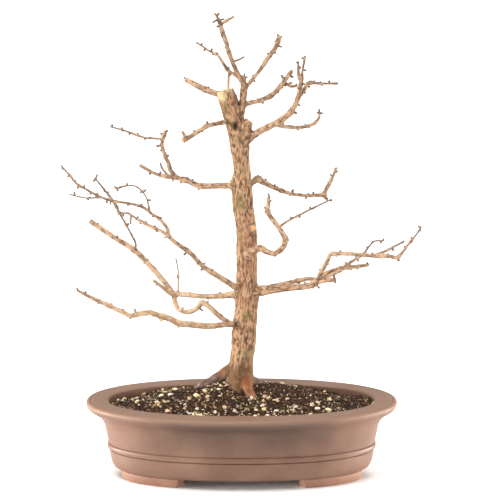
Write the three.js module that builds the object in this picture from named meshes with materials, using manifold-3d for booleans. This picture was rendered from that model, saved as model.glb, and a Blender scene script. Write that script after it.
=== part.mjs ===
// Dawn redwood bonsai in winter, leafless, in an oval pot of unglazed stoneware.
// Millimetres, +Z up, the view of its front along +Y. The origin is on the surface that it
// stands on, under the middle of the pot.

import * as THREE from 'three';
import { mergeVertices } from 'three/addons/utils/BufferGeometryUtils.js';
import Module from 'manifold-3d';

const wasm = await Module();
wasm.setup();

// Clearance kept wherever one piece lies against another
const clearance = 0.35;

// Pot: half length and half width at the widest line of its lip, how full its oval is (2 is an
// ellipse), and the main heights
const potHalfLength = 180;
const potHalfWidth = 100;
const ovalPower = 2.15;
const potSegments = 44;
const rimTop = 91.5;
const floorUnder = 9.5;
const floorTop = 17;
const bandBottom = 32.6;
const bandTop = 40;

// Outside of the pot, from the foot line up, as [inset from the widest line, height]
const outerWall = [
  [39, floorUnder],
  [33, 11.5],
  [29, 16.5],
  [27, 26],
  [26.2, bandBottom],
  [24.4, bandBottom + 1],
  [24.2, bandTop - 1],
  [25.2, bandTop],
  [24, 47],
  [22.3, 57],
  [20.4, 65],
  [17, 71],
  [12.4, 76],
  [4.6, 80.6],
  [1.2, 84],
  [0, 88],
  [1.6, 90.8],
  [5, rimTop],
];

// Inside of the pot, from the edge of the lip down to the floor
const innerWall = [
  [25, rimTop],
  [26.2, 90.4],
  [28.6, 70],
  [31, 45],
  [34, 24],
  [42, floorTop],
];

// Feet: four curved brackets under the oval's corners
const footOuterInset = 38;
const footDepth = 15;
const footFromX = 72;
const footToX = 138;
const footSteps = 7;
const footSink = 2.5;

// Drain holes, the mesh over each, and the wire staple that holds the mesh
const drainOffset = 72;
const drainRadius = 10.5;
const meshOpenings = 3;
const meshPitch = 8;
const meshBar = 1.6;
const meshThickness = 1;
const stapleWire = 0.8;
const stapleHalfSpan = meshPitch;
const stapleToe = 17;
const stapleToeHeight = 6.6;
const stapleSteps = 22;

// Soil: its level at the wall, the mound round the trunk and the size of its grains
const soilEdge = 86.5;
const moundHeight = 17;
const moundCentre = { x: 0, y: 8 };
const moundSpread = { x: 95, y: 48 };
const grainPitch = 8;
const grainRelief = 2;
const grainJitter = 2.2;
const grainSeed = 23;

// Bark of the trunk: ridges that run up it and break and shift with height
const trunkSides = 24;
const trunkStep = 10;
const barkRidge = 0.75;
const barkFadeBottom = 104;
const barkFadeTop = 122;
const broadRidges = { count: 7, share: 0.6, sway: 1.3, swayHeight: 27, climb: 0 };
const narrowRidges = { count: 11, share: 0.4, sway: 1.7, swayHeight: 19, climb: -1 / 34 };

// Trunk stations from the root ball up to the sawn top: [x, y, z, radius]
const trunkStations = [
  [0, 8, 60, 9],
  [0, 8, 84, 15.5],
  [-0.5, 8, 104, 17.6],
  [-0.5, 8, 120, 15.8],
  [0, 8, 136, 14.2],
  [1.5, 8.5, 148, 13.5],
  [2.5, 9, 159, 14],
  [3.5, 10, 177, 14.2],
  [5.3, 10, 195, 12.9],
  [6, 10, 207, 13.7],
  [6, 10, 218, 13.2],
  [6, 10.5, 236, 11.8],
  [6, 10.5, 254, 11.7],
  [5.8, 11, 283, 11.9],
  [4.6, 11.5, 300, 11.4],
  [2, 12, 312, 12],
  [1.3, 12, 323, 11.7],
  [0.2, 12, 335, 12.2],
  [0.2, 12, 347, 11.1],
  [0.5, 12, 358, 9.6],
  [-0.7, 12, 370, 9.4],
  [-1.5, 11.5, 381, 10.6],
  [-2.5, 11, 393, 11.7],
  [-5, 10, 407, 11.7],
  [-8.5, 9.5, 418, 11],
  [-11.5, 9, 428, 10.9],
  [-15.5, 8, 440, 10.8],
  [-19, 8, 450, 9.7],
];

// Limbs. Each has its route, its radius from the root to the tip, the places of its knuckles as
// fractions of its length, and whether it ends in a pruned cut.
const topLimbs = [
  // Leader that took over beside the sawn top
  { girth: [4.4, 3.4, 3.3, 3.6, 2.4], knuckles: [0.82], path: [
    [-5, 9, 412], [-2, 9, 422], [1, 8, 434], [2, 7, 445], [3, 6, 454], [2, 5, 463], [3, 5, 470]] },
  // Highest shoot
  { girth: [2.8, 2.1, 2, 2.3, 1.2], knuckles: [0.45, 0.88], path: [
    [2, 6, 459], [-6, 3, 474], [-15, -3, 498], [-17, -6, 507], [-21, -8, 518], [-24, -10, 529],
    [-27, -10, 536], [-30, -9, 540]] },
  { girth: [1.3, 1], knuckles: [0.5], path: [
    [-24, -9, 527], [-17, -13, 532], [-14, -15, 534], [-9, -17, 537]] },
  { girth: [1, 0.8], path: [[-12, 0, 484], [-4, 8, 485], [3, 14, 488]] },
  // Shoot to the upper left
  { girth: [1.9, 1.5, 1.4, 1], knuckles: [0.3, 0.62], path: [
    [0, 5, 463], [-8, 8, 469], [-14, 10, 472], [-21, 15, 481], [-27, 20, 489], [-36, 24, 493],
    [-47, 28, 500], [-51, 30, 502]] },
  // Shoot to the upper right
  { girth: [2, 1.7, 1.7, 2.2], knuckles: [0.55, 0.93], path: [
    [2, 6, 450], [10, 9, 460], [21, 14, 473], [28, 18, 483], [37, 22, 495], [40, 24, 500],
    [43, 26, 509]] },
  // Left shoot under the sawn top, and a splinter standing on the cut
  { girth: [3.2, 2.8, 2.6, 2], cut: true, knuckles: [0.5], path: [
    [-18, 9, 443], [-28, 14, 446], [-36, 18, 448], [-47, 24, 452], [-63, 32, 459]] },
  { girth: [1.6, 0.9, 0.8], path: [[-15, 5, 444], [-15, 2, 455], [-14, 1, 472]] },
  // Right limb off the leader
  { girth: [2.6, 2.3, 2.3, 2, 1.7], knuckles: [0.5, 0.97], path: [
    [0, 8, 432], [12, 0, 438], [21, -6, 441], [34, -13, 448], [40, -16, 454], [50, -22, 468],
    [56, -26, 477]] },
  { girth: [1.3, 1], path: [[48, -21, 465], [47, -23, 468], [45, -25, 472]] },
  { girth: [1.1, 0.8], path: [[46, -19, 461], [50, -18, 460], [56, -20, 463]] },
  { girth: [1.1, 0.8], path: [[48, -20, 465], [55, -12, 458], [62, -8, 458]] },
];

const rightLimbs = [
  // Heavy upper right limb that turns straight up
  { girth: [5, 4, 3.6, 3.2, 2.9, 2.3, 2, 2.5, 1.4, 1.1], knuckles: [0.52, 0.66, 0.82], path: [
    [-1, 10, 388], [10, 4, 397], [17, -1, 403], [23, -5, 407], [41, -12, 417], [50, -15, 424],
    [56, -17, 430], [63, -20, 444], [66, -22, 458], [68, -25, 474], [70, -28, 488], [71, -29, 494]] },
  { girth: [1.5, 1.4, 1.2], path: [[66, -23, 466], [64, -20, 474], [64, -16, 486]] },
  { girth: [1.8, 1.5, 1.4, 1.2], knuckles: [0.4, 0.65], path: [
    [64, -21, 447], [69, -16, 452], [73, -11, 458], [76, -7, 461], [89, 4, 459], [109, 18, 457]] },
  { girth: [2, 1.7, 1.5, 1.4, 1.3], knuckles: [0.78], path: [
    [37, -11, 415], [47, -2, 411], [55, 6, 409], [64, 14, 407], [72, 20, 407], [79, 25, 408],
    [85, 29, 411], [89, 33, 416], [89, 38, 424]] },
  // Pruned stub on the front, with the saw cut at its end
  { girth: [6.6, 5.6, 4.9], cut: true, path: [[1, 9, 390], [6, 1, 404], [9, -4, 415]] },
  // Middle right limb and its forked end
  { girth: [3.4, 3.7, 2.6, 2.3, 2.1, 1.8], knuckles: [0.2, 0.5, 0.98], path: [
    [2, 12, 336], [11, 18, 342], [18, 22, 346], [23, 25, 343], [38, 32, 334], [56, 40, 326],
    [75, 48, 322], [98, 58, 321]] },
  { girth: [1.7, 1.6, 1.4, 1.2], knuckles: [0.6], path: [
    [95, 57, 320], [98, 60, 327], [102, 63, 333], [108, 69, 345], [110, 71, 350]] },
  { girth: [1.5, 1.1], path: [[95, 57, 321], [99, 52, 317]] },
  // Hooked limb that comes forward, drops and climbs
  { girth: [4.4, 3.6, 3, 2.5, 2.6, 2.2, 1.8, 1.8, 1.6], cut: true, knuckles: [0.14, 0.47, 0.6, 0.88],
    path: [
      [4, 8, 256], [10, -5, 266], [17, -11, 270], [21, -15, 273], [29, -22, 270], [35, -27, 269],
      [40, -32, 271], [48, -39, 280], [50, -43, 286], [49, -46, 291], [43, -50, 302],
      [33, -52, 316], [30, -51, 321], [30, -48, 329], [31, -44, 339]] },
  { girth: [1.4, 1.2, 1.1, 0.9], knuckles: [0.4], path: [
    [42, -50, 302], [45, -45, 305], [55, -37, 310], [66, -29, 314], [78, -22, 319],
    [95, -11, 325], [101, -7, 327]] },
  // Low right limb with its collar, and the thinner one behind it
  { girth: [7.6, 5.2, 3.7, 3, 2.8, 2.7, 2.9], knuckles: [0.96], path: [
    [5, 10, 214], [18, 4, 218], [33, -1, 221], [55, -9, 225], [76, -16, 229], [83, -19, 232],
    [87, -21, 237]] },
  { girth: [2.2, 1.9, 1.7, 1.6], cut: true, knuckles: [0.7], path: [
    [20, 5, 218], [30, 12, 221], [48, 22, 223], [68, 32, 225], [77, 36, 226], [86, 40, 224]] },
  { girth: [2.2, 2, 1.8, 1.9, 1.6, 1.6, 1.3, 0.9], knuckles: [0.28, 0.62, 0.74, 0.88], path: [
    [84, -20, 232], [89, -23, 243], [98, -30, 262], [101, -33, 269], [111, -38, 271],
    [129, -46, 272], [147, -54, 272], [167, -62, 273], [174, -65, 272], [179, -67, 277],
    [187, -71, 289], [196, -75, 302], [200, -77, 309]] },
  { girth: [1.7, 1.5, 1.4, 1.3, 1], knuckles: [0.35, 0.7], path: [
    [84, -20, 234], [99, -10, 239], [113, -1, 244], [120, 3, 249], [134, 12, 256], [139, 15, 258],
    [148, 20, 269], [153, 23, 273], [163, 30, 272]] },
  { girth: [1.3, 1.2, 1], path: [
    [144, -53, 271], [156, -46, 273], [166, -40, 276], [171, -36, 278], [182, -29, 282]] },
  { girth: [1.8, 1.7, 1.6, 1.5], cut: true, knuckles: [0.5], path: [
    [86, -20, 234], [95, -9, 241], [104, -1, 243], [113, 8, 244], [125, 19, 243], [147, 38, 242]] },
  { girth: [1.8, 1.7, 1.4], knuckles: [0.8], path: [
    [84, -20, 233], [94, -27, 237], [100, -32, 239], [106, -35, 240]] },
];

const leftLimbs = [
  // Upper left limb, cut at its end
  { girth: [2.4, 1.9, 1.8, 2, 2.1], cut: true, knuckles: [0.55], path: [
    [-8, 10, 415], [-22, 0, 415], [-36, -8, 413], [-40, -11, 412], [-47, -15, 408],
    [-58, -21, 402], [-66, -25, 398]] },
  { girth: [1.2, 0.9], path: [[-60, -22, 401], [-63, -24, 403], [-66, -27, 408]] },
  // Middle left limb and its rising fork
  { girth: [3.4, 2.9, 2.6, 2.4, 2.1, 1.8, 1.4], knuckles: [0.36, 0.55, 0.72], path: [
    [-2, 11, 339], [-19, 18, 339], [-42, 26, 337], [-50, 29, 337], [-57, 31, 340], [-65, 33, 343],
    [-83, 38, 346], [-94, 41, 347], [-103, 44, 350], [-117, 49, 357]] },
  { girth: [2.3, 2, 1.8, 1.8, 2], knuckles: [0.5, 0.93], path: [
    [-74, 36, 344], [-82, 32, 355], [-84, 28, 364], [-87, 25, 371], [-91, 20, 386],
    [-90, 18, 392], [-87, 13, 402]] },
  { girth: [1.2, 1.1, 1, 0.9], knuckles: [0.5], path: [
    [-89, 18, 393], [-98, 22, 393], [-111, 28, 393], [-119, 32, 395], [-137, 40, 400],
    [-151, 45, 403]] },
  { girth: [1.1, 0.9], path: [[-83, 38, 345], [-88, 44, 350], [-92, 49, 354], [-94, 53, 359]] },
  // Long lower left limb, reaching forward to the furthest tip
  { girth: [3.2, 2.8, 2.6, 2.5, 2.4], knuckles: [0.42, 0.75, 0.97], path: [
    [2, 9, 217], [-8, -2, 225], [-15, -8, 231], [-36, -20, 247], [-44, -25, 254], [-58, -34, 271],
    [-72, -42, 283], [-80, -47, 291], [-82, -49, 296]] },
  { girth: [2.1, 1.8, 1.6, 1.5, 1.4, 1.2, 1], knuckles: [0.17, 0.53, 0.8, 0.9], path: [
    [-82, -48, 292], [-83, -52, 302], [-93, -57, 316], [-100, -60, 321], [-111, -64, 330],
    [-126, -70, 335], [-145, -75, 339], [-159, -78, 345], [-174, -81, 354], [-182, -82, 359],
    [-189, -83, 368], [-199, -84, 380]] },
  { girth: [1.1, 1, 0.9, 0.9, 1.3], knuckles: [0.45], path: [
    [-102.5, -61, 323], [-105, -56, 335], [-108, -51, 341], [-118, -43, 349], [-129, -38, 349],
    [-140, -32, 345]] },
  { girth: [1.7, 1.5, 1.4, 1.2, 1.5], knuckles: [0.3, 0.6], path: [
    [-80, -48, 292], [-89, -41, 297], [-96, -36, 299], [-110, -27, 304], [-117, -22, 307],
    [-129, -14, 313], [-136, -10, 312]] },
  { girth: [1, 0.8], path: [[-125, -17, 311], [-126, -16, 306], [-126, -14, 301]] },
  { girth: [1, 0.9, 0.8], path: [
    [-144, -75, 339], [-155, -69, 341], [-171, -60, 339], [-178, -56, 339], [-192, -48, 341]] },
  // Level left limb, and the one that climbs away from its end
  { girth: [4.4, 3, 2.7, 2.6, 2.5], knuckles: [0.97], path: [
    [2, 10, 212], [-9, 14, 212], [-19, 18, 210], [-42, 27, 207], [-66, 36, 207], [-80, 41, 207]] },
  { girth: [2.7, 2.6, 2.6, 2.4, 2.1], cut: true, knuckles: [0.3, 0.55], path: [
    [-77, 40, 204], [-86, 45, 215], [-95, 50, 225], [-113, 59, 243], [-127, 65, 255],
    [-149, 73, 267], [-160, 77, 274], [-178, 83, 285]] },
  { girth: [1.1, 1, 0.9, 0.8], knuckles: [0.35, 0.6], path: [
    [-124, 63, 253], [-124, 57, 265], [-127, 53, 272], [-133, 46, 286], [-141, 38, 303],
    [-146, 32, 315], [-154, 26, 328], [-167, 17, 347]] },
  { girth: [1, 0.9, 0.8], knuckles: [0.5], path: [
    [-74, 38, 206], [-74, 45, 218], [-74, 51, 231], [-77, 58, 246]] },
  { girth: [1.6, 1.4, 1.2], cut: true, path: [
    [-78, 40, 204], [-87, 32, 212], [-91, 28, 217], [-102, 19, 228]] },
  // Hook under the level limb, grown together with its end
  { girth: [2.4, 2.1, 2.1, 2.2, 2, 2.1, 2.3], knuckles: [0.42, 0.66], path: [
    [-9, 5, 178], [-19, 4, 184], [-26, 5, 189], [-40, 9, 201], [-46, 12, 203], [-49, 15, 198],
    [-52, 18, 194], [-57, 21, 191], [-66, 25, 189], [-73, 30, 191], [-77, 35, 197], [-79, 40, 205]] },
  // Lowest left limb
  { girth: [4.6, 3.2, 2.9, 3, 2.8, 2.4, 2.3, 2.3, 2, 1.7], knuckles: [0.4, 0.5, 0.66, 0.82], path: [
    [4, 9, 177], [-6, 1, 180], [-16, -4, 181], [-38, -17, 182], [-56, -27, 186], [-72, -36, 190],
    [-79, -40, 195], [-92, -47, 201], [-103, -53, 206], [-114, -58, 206], [-125, -63, 205],
    [-132, -66, 209], [-151, -73, 220], [-169, -79, 230], [-182, -83, 238]] },
  // Small pruned stubs on the trunk and on the lowest limb
  { girth: [3.4, 2.8], cut: true, path: [[-3, 11, 342], [-14, 9, 346]] },
  { girth: [4.4, 3.6], cut: true, path: [[8, 8, 290], [15, -3.5, 290]] },
  { girth: [2.6, 2.4], cut: true, path: [[-89, -45, 199], [-92, -50, 197]] },
  { girth: [2.4, 2], cut: true, path: [[47, -40, 284], [52, -44, 285]] },
];

// Roots: they leave the flare, run over the mound and dive into the soil
const roots = [
  { girth: [9.5, 7, 5.6, 4.8, 4], path: [
    [-3, 8, 131], [-12, 9, 122], [-24, 13, 112], [-36, 18, 102], [-45, 22, 95], [-58, 28, 83]] },
  { girth: [9, 6.6, 5.6, 5, 4], path: [
    [1, 3, 136], [4, -7, 119], [10, -14, 110], [14, -18, 101], [19, -24, 92], [24, -30, 80]] },
  { girth: [8, 5.2, 4.4, 3.6], path: [
    [2, 9, 122], [11, 13, 108], [20, 16, 102], [31, 18, 94], [44, 21, 84]] },
  { girth: [9, 6.4, 4.8, 3.6], path: [
    [-1, 13, 122], [-5, 24, 108], [-9, 33, 100], [-14, 44, 89]] },
  { girth: [8, 6, 4.6, 3.4], path: [
    [3, 13, 118], [12, 22, 106], [20, 30, 99], [29, 39, 88]] },
  { girth: [9, 6.4, 4.8, 3.6], path: [
    [-4, 5, 120], [-12, -5, 108], [-19, -13, 100], [-28, -23, 88]] },
];
const rootSides = 8;

// Buds along the shoots: half length and radius, how far they stand off and lean to the tip
const budSpacing = 40;
const budHalfLength = 1.6;
const budRadius = 0.85;
const budStand = 0.35;
const budLean = 0.7;
const budTurn = 2.2;
const thickestBudded = 2.6;
const budSeed = 7;

// Old wound on the front of the trunk: its middle and its half sizes
const woundCentre = [-6.5, -2.6, 411];
const woundHalf = [3.6, 3.4, 6];

// Rings and sides of the limbs
const stoutSides = 8;
const stoutRadius = 3.8;
const limbSides = 6;
const twigRadius = 1.5;
const twigSides = 5;
const wireSides = 6;
const bendDivisions = 12;
const ringGap = 4.5;
const knuckleSwell = 0.6;
const knuckleReach = 2.8;
const tipRounding = 0.8;

// Edges shorter than this are closed up after a join
const crumb = 0.04;

/** Numbers from 0 to 1, the same ones each time for the same seed. */
function seededDraw(seed) {
  let state = seed;
  return () => {
    state = (Math.imul(state, 1664525) + 1013904223) >>> 0;
    return state / 4294967296;
  };
}

/** A solid from a closed geometry, its seams merged and its empty triangles dropped. */
function toSolid(geometry) {
  const bare = geometry.clone();
  bare.deleteAttribute('normal');
  bare.deleteAttribute('uv');
  const merged = mergeVertices(bare, 1e-4);
  const index = merged.index.array;
  const triangles = [];
  for (let i = 0; i < index.length; i += 3) {
    const [a, b, c] = index.slice(i, i + 3);
    if (a !== b && b !== c && c !== a) triangles.push(a, b, c);
  }
  return new wasm.Manifold(new wasm.Mesh({
    numProp: 3,
    vertProperties: new Float32Array(merged.attributes.position.array),
    triVerts: new Uint32Array(triangles),
  }));
}

/** A geometry from a solid. */
function toGeometry(solid) {
  const mesh = solid.getMesh();
  const geometry = new THREE.BufferGeometry();
  geometry.setAttribute('position', new THREE.BufferAttribute(new Float32Array(mesh.vertProperties), 3));
  geometry.setIndex(new THREE.BufferAttribute(new Uint32Array(mesh.triVerts), 1));
  geometry.computeVertexNormals();
  return geometry;
}

/** A named mesh of one solid in its own material. */
function makePiece(name, solid, colour, roughness, metalness) {
  const material = new THREE.MeshStandardMaterial({ color: colour, roughness, metalness });
  const mesh = new THREE.Mesh(toGeometry(solid), material);
  mesh.name = name;
  return mesh;
}

/** The value that lies a fraction of the way along an evenly spaced list. */
function alongList(values, fraction) {
  const place = Math.min(Math.max(fraction, 0), 1) * (values.length - 1);
  const low = Math.min(Math.floor(place), values.length - 2);
  return THREE.MathUtils.lerp(values[low], values[low + 1], place - low);
}

/**
 * A closed tube along a curve, with a ring of corners at each place, a fraction of its length.
 * radiusAt gives the radius at a place and an angle round it. A tip is rounded, a pruned end is
 * flat, and both stand further out by grow.
 */
function tube(curve, places, sideCount, radiusAt, cut, grow = 0) {
  const points = [];
  const tangents = places.map((place) => curve.getTangentAt(place));
  const first = tangents[0];
  const normal = Math.abs(first.x) > Math.abs(first.y)
    ? new THREE.Vector3(0, 1, 0)
    : new THREE.Vector3(1, 0, 0);
  places.forEach((place, i) => {
    const tangent = tangents[i];
    normal.addScaledVector(tangent, -normal.dot(tangent)).normalize();
    const binormal = new THREE.Vector3().crossVectors(tangent, normal);
    const centre = curve.getPointAt(place);
    if (i === 0) centre.addScaledVector(tangent, -grow);
    if (i === places.length - 1) centre.addScaledVector(tangent, grow);
    for (let j = 0; j < sideCount; j += 1) {
      const angle = (2 * Math.PI * j) / sideCount;
      const radius = radiusAt(place, angle);
      points.push(centre.clone()
        .addScaledVector(normal, Math.cos(angle) * radius)
        .addScaledVector(binormal, Math.sin(angle) * radius));
    }
  });
  const start = curve.getPointAt(0).addScaledVector(first, -grow);
  const lastTangent = tangents[places.length - 1];
  const rounding = cut ? 0 : tipRounding * radiusAt(1, 0);
  const end = curve.getPointAt(1).addScaledVector(lastTangent, grow + rounding);
  points.push(start, end);
  const index = [];
  const last = (places.length - 1) * sideCount;
  for (let j = 0; j < sideCount; j += 1) {
    const next = (j + 1) % sideCount;
    for (let row = 0; row < last; row += sideCount) {
      const above = row + sideCount;
      index.push(row + j, row + next, above + j, row + next, above + next, above + j);
    }
    index.push(points.length - 2, next, j);
    index.push(points.length - 1, last + j, last + next);
  }
  const geometry = new THREE.BufferGeometry().setFromPoints(points);
  geometry.setIndex(index);
  return geometry;
}

/** Evenly spaced places from 0 to 1. */
function evenPlaces(steps) {
  return Array.from({ length: steps + 1 }, (_, i) => i / steps);
}

/** The curve through a limb's points. */
function routeOf(path) {
  return new THREE.CatmullRomCurve3(path.map((p) => new THREE.Vector3(...p)), false, 'centripetal');
}

/** Where a limb needs its rings: at its ends, at each bend and three across each knuckle. */
function ringPlaces(curve, knuckles) {
  const bends = curve.points.length - 1;
  const lengths = curve.getLengths(bends * bendDivisions);
  const total = lengths[lengths.length - 1];
  const reach = knuckleReach / total;
  const fixed = [0, 1];
  for (const place of knuckles) fixed.push(place - reach, place, place + reach);
  const places = fixed.filter((place) => place >= 0 && place <= 1);
  const apart = ringGap / total;
  for (let i = 1; i < bends; i += 1) {
    const place = lengths[i * bendDivisions] / total;
    if (places.every((other) => Math.abs(other - place) > apart)) places.push(place);
  }
  return places.sort((a, b) => a - b);
}

/** One limb, twig or root as a solid, with its knuckles as swellings. */
function limbSolid(limb, sideCount, grow = 0) {
  const curve = routeOf(limb.path);
  const length = curve.getLength();
  const knuckles = limb.knuckles ?? [];
  const radiusAt = (place) => {
    let radius = alongList(limb.girth, place);
    for (const knuckle of knuckles) {
      const away = Math.min(Math.abs(place - knuckle) * length / knuckleReach, 1);
      radius += knuckleSwell * (1 - away);
    }
    return radius + grow;
  };
  return toSolid(tube(curve, ringPlaces(curve, knuckles), sideCount, radiusAt, limb.cut, grow));
}

/** The number of sides that a limb of this thickness gets. */
function sidesOf(limb) {
  const thickest = limb.girth[0];
  if (thickest > stoutRadius) return stoutSides;
  return thickest > twigRadius ? limbSides : twigSides;
}

/** How far the bark stands out at an angle and a height, between plus and minus the ridge. */
function barkAt(angle, height) {
  const fade = THREE.MathUtils.smoothstep(height, barkFadeBottom, barkFadeTop);
  const relief = ({ count, share, sway, swayHeight, climb }) => (
    share * Math.sin(count * angle + climb * height + sway * Math.sin(height / swayHeight)));
  return barkRidge * fade * (relief(broadRidges) + relief(narrowRidges));
}

/** The trunk from the root ball to the sawn top. */
function trunkSolid(grow = 0) {
  const curve = routeOf(trunkStations.map(([x, y, z]) => [x, y, z]));
  const steps = Math.round(curve.getLength() / trunkStep);
  const radiusAt = (fraction, angle) => {
    const height = curve.getPointAt(fraction).z;
    let upper = 1;
    while (upper < trunkStations.length - 1 && trunkStations[upper][2] < height) upper += 1;
    const [, , lowZ, lowRadius] = trunkStations[upper - 1];
    const [, , highZ, highRadius] = trunkStations[upper];
    const radius = THREE.MathUtils.mapLinear(height, lowZ, highZ, lowRadius, highRadius);
    return radius + grow + (grow > 0 ? 0 : barkAt(angle, height));
  };
  return toSolid(tube(curve, evenPlaces(steps), trunkSides, radiusAt, true, grow));
}

/** Buds in turn to one side and the other of every shoot that is thin enough to carry them. */
function budSolids(limbs) {
  const draw = seededDraw(budSeed);
  const along = new THREE.Vector3(0, 0, 1);
  const buds = [];
  for (const limb of limbs) {
    const curve = routeOf(limb.path);
    const length = curve.getLength();
    const count = Math.floor(length / budSpacing);
    for (let k = 0; k < count; k += 1) {
      const fraction = (k + 0.55 + 0.3 * draw()) / (count + 0.4);
      const radius = alongList(limb.girth, fraction);
      const turn = Math.PI * k + budTurn * draw();
      if (radius > thickestBudded) continue;
      const tangent = curve.getTangentAt(fraction);
      const sideways = new THREE.Vector3(0, 0, 1).cross(tangent).normalize();
      sideways.applyAxisAngle(tangent, turn);
      const pointing = sideways.clone().addScaledVector(tangent, budLean).normalize();
      const bud = new THREE.OctahedronGeometry(1, 0);
      bud.scale(budRadius, budRadius, budHalfLength);
      bud.applyQuaternion(new THREE.Quaternion().setFromUnitVectors(along, pointing));
      const seat = curve.getPointAt(fraction).addScaledVector(sideways, radius + budStand);
      bud.translate(seat.x, seat.y, seat.z);
      buds.push(toSolid(bud));
    }
  }
  return buds;
}

/** The old wound on the front of the trunk, as the hollow that is taken out of it. */
function woundSolid() {
  const hollow = new THREE.IcosahedronGeometry(1, 1);
  hollow.scale(...woundHalf);
  hollow.translate(...woundCentre);
  return toSolid(hollow);
}

/** The whole tree as the one piece that it grew as. */
function treeSolid() {
  const limbs = [...topLimbs, ...rightLimbs, ...leftLimbs];
  const limbSolids = limbs.map((limb) => limbSolid(limb, sidesOf(limb)));
  const rootSolids = roots.map((root) => limbSolid(root, rootSides));
  const trunk = trunkSolid().subtract(woundSolid());
  return wasm.Manifold.union([trunk, ...limbSolids, ...rootSolids, ...budSolids(limbs)]).simplify(crumb);
}

/** The plain hole in the soil that the foot of the tree and its roots stand in. */
function treeHole() {
  const rootHoles = roots.map((root) => limbSolid(root, rootSides, clearance));
  return wasm.Manifold.union([trunkSolid(clearance), ...rootHoles]);
}

/** The point of the pot's oval at this reach along its length, in the direction of an angle. */
function ovalPoint(reach, angle) {
  const fuller = (value) => Math.sign(value) * Math.abs(value) ** (2 / ovalPower);
  const across = Math.max(reach - (potHalfLength - potHalfWidth), 0);
  return new THREE.Vector2(reach * fuller(Math.cos(angle)), across * fuller(Math.sin(angle)));
}

/**
 * An oval ring or dish turned from a profile of [inset, height] points, the inset measured in from
 * the pot's widest line, the same all round. The ends of an open profile close on the axis.
 */
function ovalSolid(profile, segments) {
  const points = profile.map(([inset, height]) => new THREE.Vector2(potHalfLength - inset, height));
  points.unshift(new THREE.Vector2(0, profile[0][1]));
  points.push(new THREE.Vector2(0, profile[profile.length - 1][1]));
  const geometry = new THREE.LatheGeometry(points, segments);
  const position = geometry.attributes.position;
  for (let i = 0; i < position.count; i += 1) {
    const x = position.getX(i);
    const across = -position.getZ(i);
    const place = ovalPoint(Math.hypot(x, across), Math.atan2(across, x));
    position.setXYZ(i, place.x, place.y, position.getY(i));
  }
  return toSolid(geometry);
}

/** One foot: a stretch of an oval band under the floor's edge, mirrored to each corner. */
function footSolid(mirrorX, mirrorY) {
  const outer = potHalfLength - footOuterInset;
  const angleAt = (x) => Math.acos((x / outer) ** (ovalPower / 2));
  const angles = evenPlaces(footSteps)
    .map((place) => THREE.MathUtils.lerp(angleAt(footToX), angleAt(footFromX), place));
  const shape = new THREE.Shape([
    ...angles.map((angle) => ovalPoint(outer, angle)),
    ...angles.reverse().map((angle) => ovalPoint(outer - footDepth, angle)),
  ]);
  const depth = floorUnder + footSink;
  const geometry = new THREE.ExtrudeGeometry(shape, { depth, bevelEnabled: false });
  return toSolid(geometry).scale([mirrorX, mirrorY, 1]);
}

/** A drain hole through the floor. */
function drainSolid(x) {
  const geometry = new THREE.CylinderGeometry(drainRadius, drainRadius, 3 * floorTop, 20);
  geometry.rotateX(Math.PI / 2);
  geometry.translate(x, 0, 0);
  return toSolid(geometry);
}

/** The pot, fired in one piece with its feet. */
function potSolid() {
  const feet = [footSolid(1, 1), footSolid(-1, 1), footSolid(1, -1), footSolid(-1, -1)];
  return wasm.Manifold.union([ovalSolid([...outerWall, ...innerWall], potSegments), ...feet])
    .subtract(drainSolid(-drainOffset))
    .subtract(drainSolid(drainOffset))
    .simplify(crumb);
}

/** Level of the soil without its grains. */
function soilLevel(x, y) {
  const away = ((x - moundCentre.x) / moundSpread.x) ** 2 + ((y - moundCentre.y) / moundSpread.y) ** 2;
  return soilEdge + moundHeight * Math.exp(-away);
}

/** The soil: it fills the pot to its mounded top, with every grain there as relief. */
function soilSolid() {
  const draw = seededDraw(grainSeed);
  const width = 2 * (potHalfLength - 10);
  const depth = 2 * (potHalfWidth - 10);
  const columns = Math.round(width / grainPitch);
  const rows = Math.round(depth / grainPitch);
  const block = new THREE.BoxGeometry(width, depth, 1, columns, rows, 1);
  const merged = mergeVertices(block.deleteAttribute('normal').deleteAttribute('uv'), 1e-4);
  const position = merged.attributes.position;
  for (let i = 0; i < position.count; i += 1) {
    const x = position.getX(i);
    const y = position.getY(i);
    const jitterX = grainJitter * (2 * draw() - 1);
    const jitterY = grainJitter * (2 * draw() - 1);
    const lift = grainRelief * (2 * draw() - 1);
    const top = position.getZ(i) > 0;
    if (top) position.setXYZ(i, x + jitterX, y + jitterY, soilLevel(x, y) + lift);
    else position.setXYZ(i, x, y, 0);
  }
  const room = innerWall.map(([inset, height]) => [inset + clearance, height]).reverse();
  room[0][1] = floorTop + clearance;
  room[room.length - 1][1] = soilEdge + 2 * moundHeight;
  const filling = ovalSolid(room, potSegments).intersect(toSolid(merged));
  return [drainPocket(-drainOffset), drainPocket(drainOffset), treeHole()]
    .reduce((solid, cut) => solid.subtract(cut), filling)
    .simplify(crumb);
}

const meshSize = meshOpenings * meshPitch + meshBar;
const meshBottom = floorTop + clearance;
const stapleBridge = meshBottom + meshThickness + clearance + stapleWire;

/** The room that a drain's mesh and staple take up under the soil. */
function drainPocket(x) {
  const height = stapleBridge + stapleWire + clearance;
  const geometry = new THREE.BoxGeometry(meshSize + 2 * clearance, meshSize + 2 * clearance, height);
  geometry.translate(x, 0, height / 2);
  return toSolid(geometry);
}

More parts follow.
